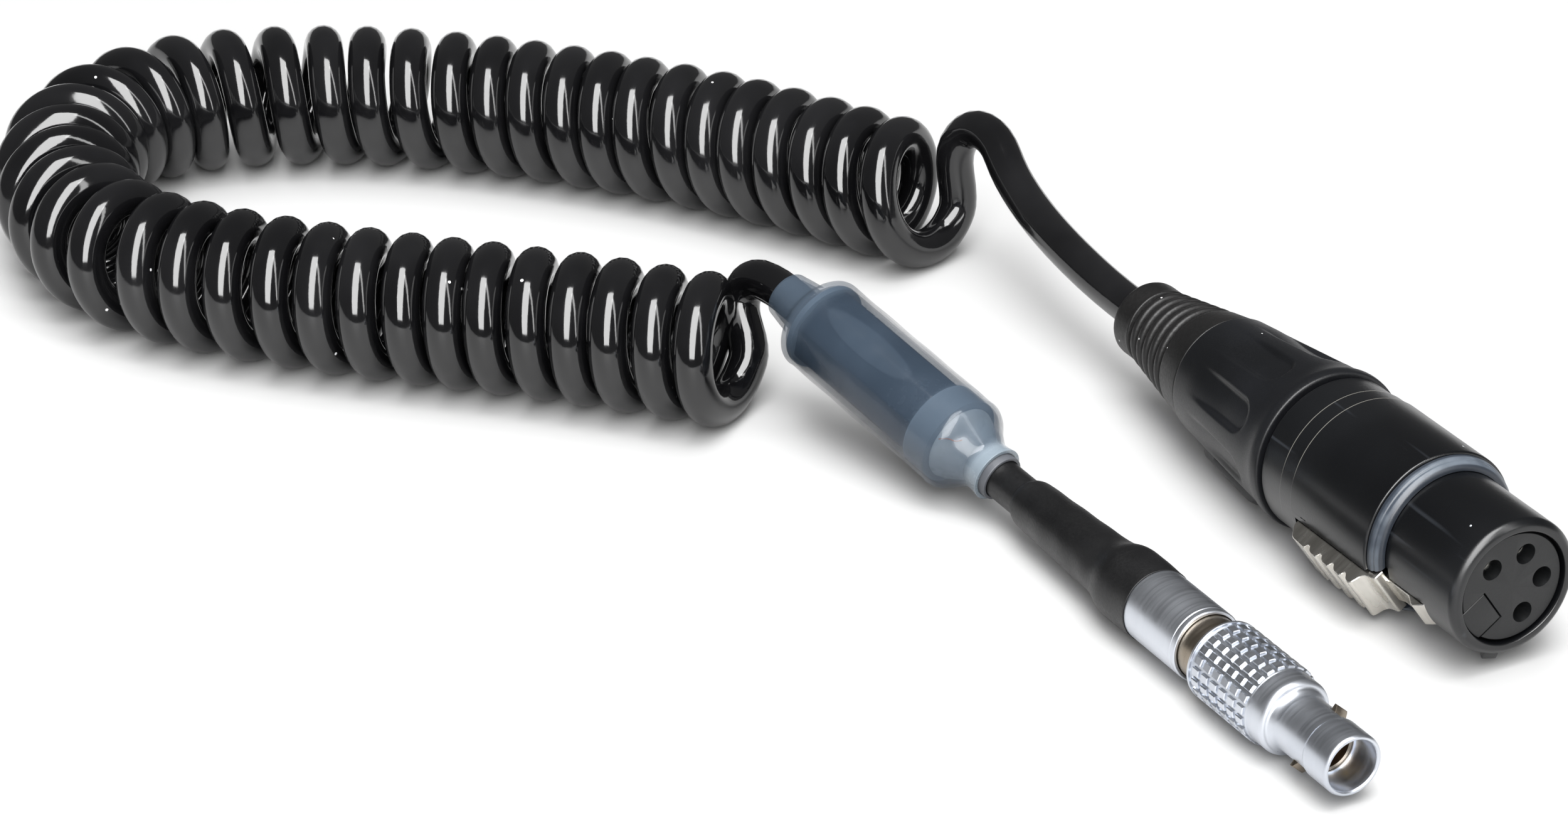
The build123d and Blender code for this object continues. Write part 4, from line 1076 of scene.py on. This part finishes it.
def rows_of_rings():
    """Geometry nodes that set one piece in rings round local X, and repeat the rings in rows."""
    tree = bpy.data.node_groups.new("rows_of_rings", "GeometryNodeTree")
    sockets = {
        "Rows": "Int",
        "Row pitch": "Float",
        "First row": "Float",
        "Around": "Int",
        "Radius": "Float",
        "Seed": "Int",
        "Piece": "Object",
        "Finish": "Material",
    }
    for label, kind in sockets.items():
        tree.interface.new_socket(label, in_out="INPUT", socket_type="NodeSocket" + kind)
    tree.interface.new_socket("Geometry", in_out="OUTPUT", socket_type="NodeSocketGeometry")

    def add(kind, settings, inputs):
        node = tree.nodes.new(kind)
        for setting, value in settings.items():
            setattr(node, setting, value)
        for socket, value in inputs.items():
            if isinstance(value, bpy.types.NodeSocket):
                tree.links.new(value, node.inputs[socket])
            else:
                node.inputs[socket].default_value = value
        return node

    given = add("NodeGroupInput", {}, {}).outputs
    pitch = add("ShaderNodeCombineXYZ", {}, {"X": given["Row pitch"]}).outputs[0]
    first = add("ShaderNodeCombineXYZ", {}, {"X": given["First row"]}).outputs[0]
    rows = add("GeometryNodeMeshLine", {}, {"Count": given["Rows"], "Start Location": first, "Offset": pitch})
    ring = add("GeometryNodeMeshCircle", {}, {"Vertices": given["Around"], "Radius": given["Radius"]})
    stood = add("GeometryNodeTransform", {}, {"Geometry": ring.outputs[0], "Rotation": (0, math.pi / 2, 0)})
    rings = add("GeometryNodeInstanceOnPoints", {}, {"Points": rows.outputs[0], "Instance": stood.outputs[0]})
    places = add("GeometryNodeRealizeInstances", {}, {"Geometry": rings.outputs[0]})
    apart = add("ShaderNodeSeparateXYZ", {}, {0: add("GeometryNodeInputPosition", {}, {}).outputs[0]}).outputs
    outward = add("ShaderNodeCombineXYZ", {}, {"Y": apart["Y"], "Z": apart["Z"]}).outputs[0]
    lean = add("FunctionNodeAlignRotationToVector", {"axis": "Z", "pivot_axis": "X"}, {"Vector": outward})
    piece = add("GeometryNodeObjectInfo", {}, {"Object": given["Piece"], "As Instance": True})
    vary = {"Seed": given["Seed"]}
    size = add("FunctionNodeRandomValue", {"data_type": "FLOAT"}, vary)
    size.inputs[2].default_value, size.inputs[3].default_value = 0.975, 1.01
    laid = {"Points": places.outputs[0], "Instance": piece.outputs["Geometry"]}
    laid.update({"Rotation": lean.outputs[0], "Scale": size.outputs[1]})
    pieces = add("GeometryNodeInstanceOnPoints", {}, laid)
    solid = add("GeometryNodeRealizeInstances", {}, {"Geometry": pieces.outputs[0]})
    coated = {"Geometry": solid.outputs[0], "Material": given["Finish"]}
    done = add("GeometryNodeSetMaterial", {}, coated)
    add("NodeGroupOutput", {}, {"Geometry": done.outputs[0]})
    return tree


def repeated(name, line, tree, values):
    """A piece made by the rows of rings, as a plain mesh in its place beside a line."""
    made = in_scene(name, bpy.data.meshes.new(name))
    grown = made.modifiers.new("rows", "NODES")
    grown.node_group = tree
    for item in tree.interface.items_tree:
        if item.in_out == "INPUT" and item.name in values:
            grown[item.identifier] = values[item.name]
    settled(made)
    axes = Matrix((line.along, line.side, line.up)).transposed().to_4x4()
    axes.translation = line.at
    made.data.transform(axes)
    if axes.determinant() < 0:
        made.data.flip_normals()
    return made


pad = grip_pad()
pad_rows = rows_of_rings()
pad_values = {
    "Rows": PAD_ROWS,
    "Row pitch": PAD_PITCH * MM,
    "First row": PAD_FIRST * MM,
    "Around": PADS_AROUND,
    "Radius": PAD_FLOOR_R * MM,
    "Seed": 4,
    "Piece": pad,
    "Finish": satin_chrome.material,
}
pads = repeated("grip_pads", plug_line, pad_rows, pad_values)
bpy.data.objects.remove(pad)
dressed(pads, satin_chrome, "plug_shell", "satin_chrome")

# ------------------------------------------------------------------ plug core
# Inside the shell a slotted sleeve carries two spring teeth of nickel-plated brass that stand out
# through the nose's windows. A brown insert holds two gold-plated pins.
plug_nickel = plated("plug_nickel", rgb(128, 118, 106), rgb(158, 148, 134), (0.24, 0.38), (1, 0.1, 0.1))
for number in (1, 2):
    finger = softened(f"latch_tooth_{number}", f"latch_finger_{number}", 0.05, 2)
    dressed(finger, plug_nickel, f"latch_finger_{number}", "nickel", f"latch_finger_{number}")
for node in ("latch_sleeve", "carrier", "cable_collet"):
    kept(node, plug_nickel)
brown_plastic = worn(
    "contact_insert_plastic", rgb(96, 72, 50), rgb(122, 94, 66), (0.35, 0.5), 1800.0, 0.00001
)
kept("contact_insert", brown_plastic)
gold = plated("gold_plate", rgb(212, 168, 92), rgb(236, 196, 118), (0.15, 0.25))
kept("plug_pins", gold)
kept("plug_wires", insulation)

# ------------------------------------------------------------------ collet nut
# A turned and chrome-plated nut screws on behind the shell and squeezes the collet on the lead. A bright
# ring is turned on its front edge.
nut_outline = [
    (27.2, 3.8, 0.05),
    (27.2, 4.1, 0.1),
    (27.35, 4.2, 0.1),
    (27.95, 4.2, 0.06),
    (28.02, 4.12, 0.04),
    (28.1, 4.2, 0.06),
    (42.9, 4.2, 0.3),
    (43.4, 3.7, 0.2),
    (43.4, 2.75, 0),
    (41.3, 2.75, 0),
    (38.5, 3.31, 0),
    (33.2, 3.31, 0),
    (33.2, 3.8, 0),
]
nut = turned("collet_nut_turned", plug_line, nut_outline, 144)
dressed(nut, satin_chrome, "lead", "satin_chrome", "collet_nut")

# ------------------------------------------------------------------ black heat-shrink
# Two layers of black heat-shrink cover the joint of lead and plug. The outer one flares over the nut,
# where its cut edge stands a little proud and uneven, and it wrinkles as it narrows.
shrink_outline = [
    (37.0, 4.27, 0.03),
    (37.0, 4.45, 0.08),
    (43.0, 4.55, 1.0),
    (45.4, 3.75, 1.0),
    (48.4, 3.55, 1.5),
    (62.6, 3.05, 0.3),
    (63.2, 2.85, 0.12),
    (63.2, 2.66, 0.03),
    (45.4, 2.66, 0),
    (43.45, 3.8, 0),
    (43.0, 4.27, 0),
]


def wrinkles(station, radius, angle):
    """The heat-shrink's unevenness, which only moves its outer skin."""
    if radius <= np.interp(station, (37, 43, 45.4, 63.2), (4.35, 4.4, 3.0, 2.75)):
        return 0.0
    turn = math.radians(angle)
    soft = math.sin(2 * turn + 0.5 * station) * math.sin(0.7 * station + 1.1)
    folds = math.sin(5 * turn + 1.7) * math.exp(-(((station - 46.0) / 2.2) ** 2))
    return -0.05 - 0.05 * soft - 0.07 * (folds + 1)


outer_shrink = turned("outer_heat_shrink", plug_line, shrink_outline, 144, 0.4, wrinkles, 50)
shrink_rubber = worn(
    "shrink_rubber", rgb(10, 10, 11), rgb(16, 16, 17), (0.4, 0.52), 3200.0, 0.00002, dust=0.04, patch=120.0
)
dressed(outer_shrink, shrink_rubber, "lead", "shrink_black", "outer_shrink")
kept("inner_shrink", shrink_rubber)
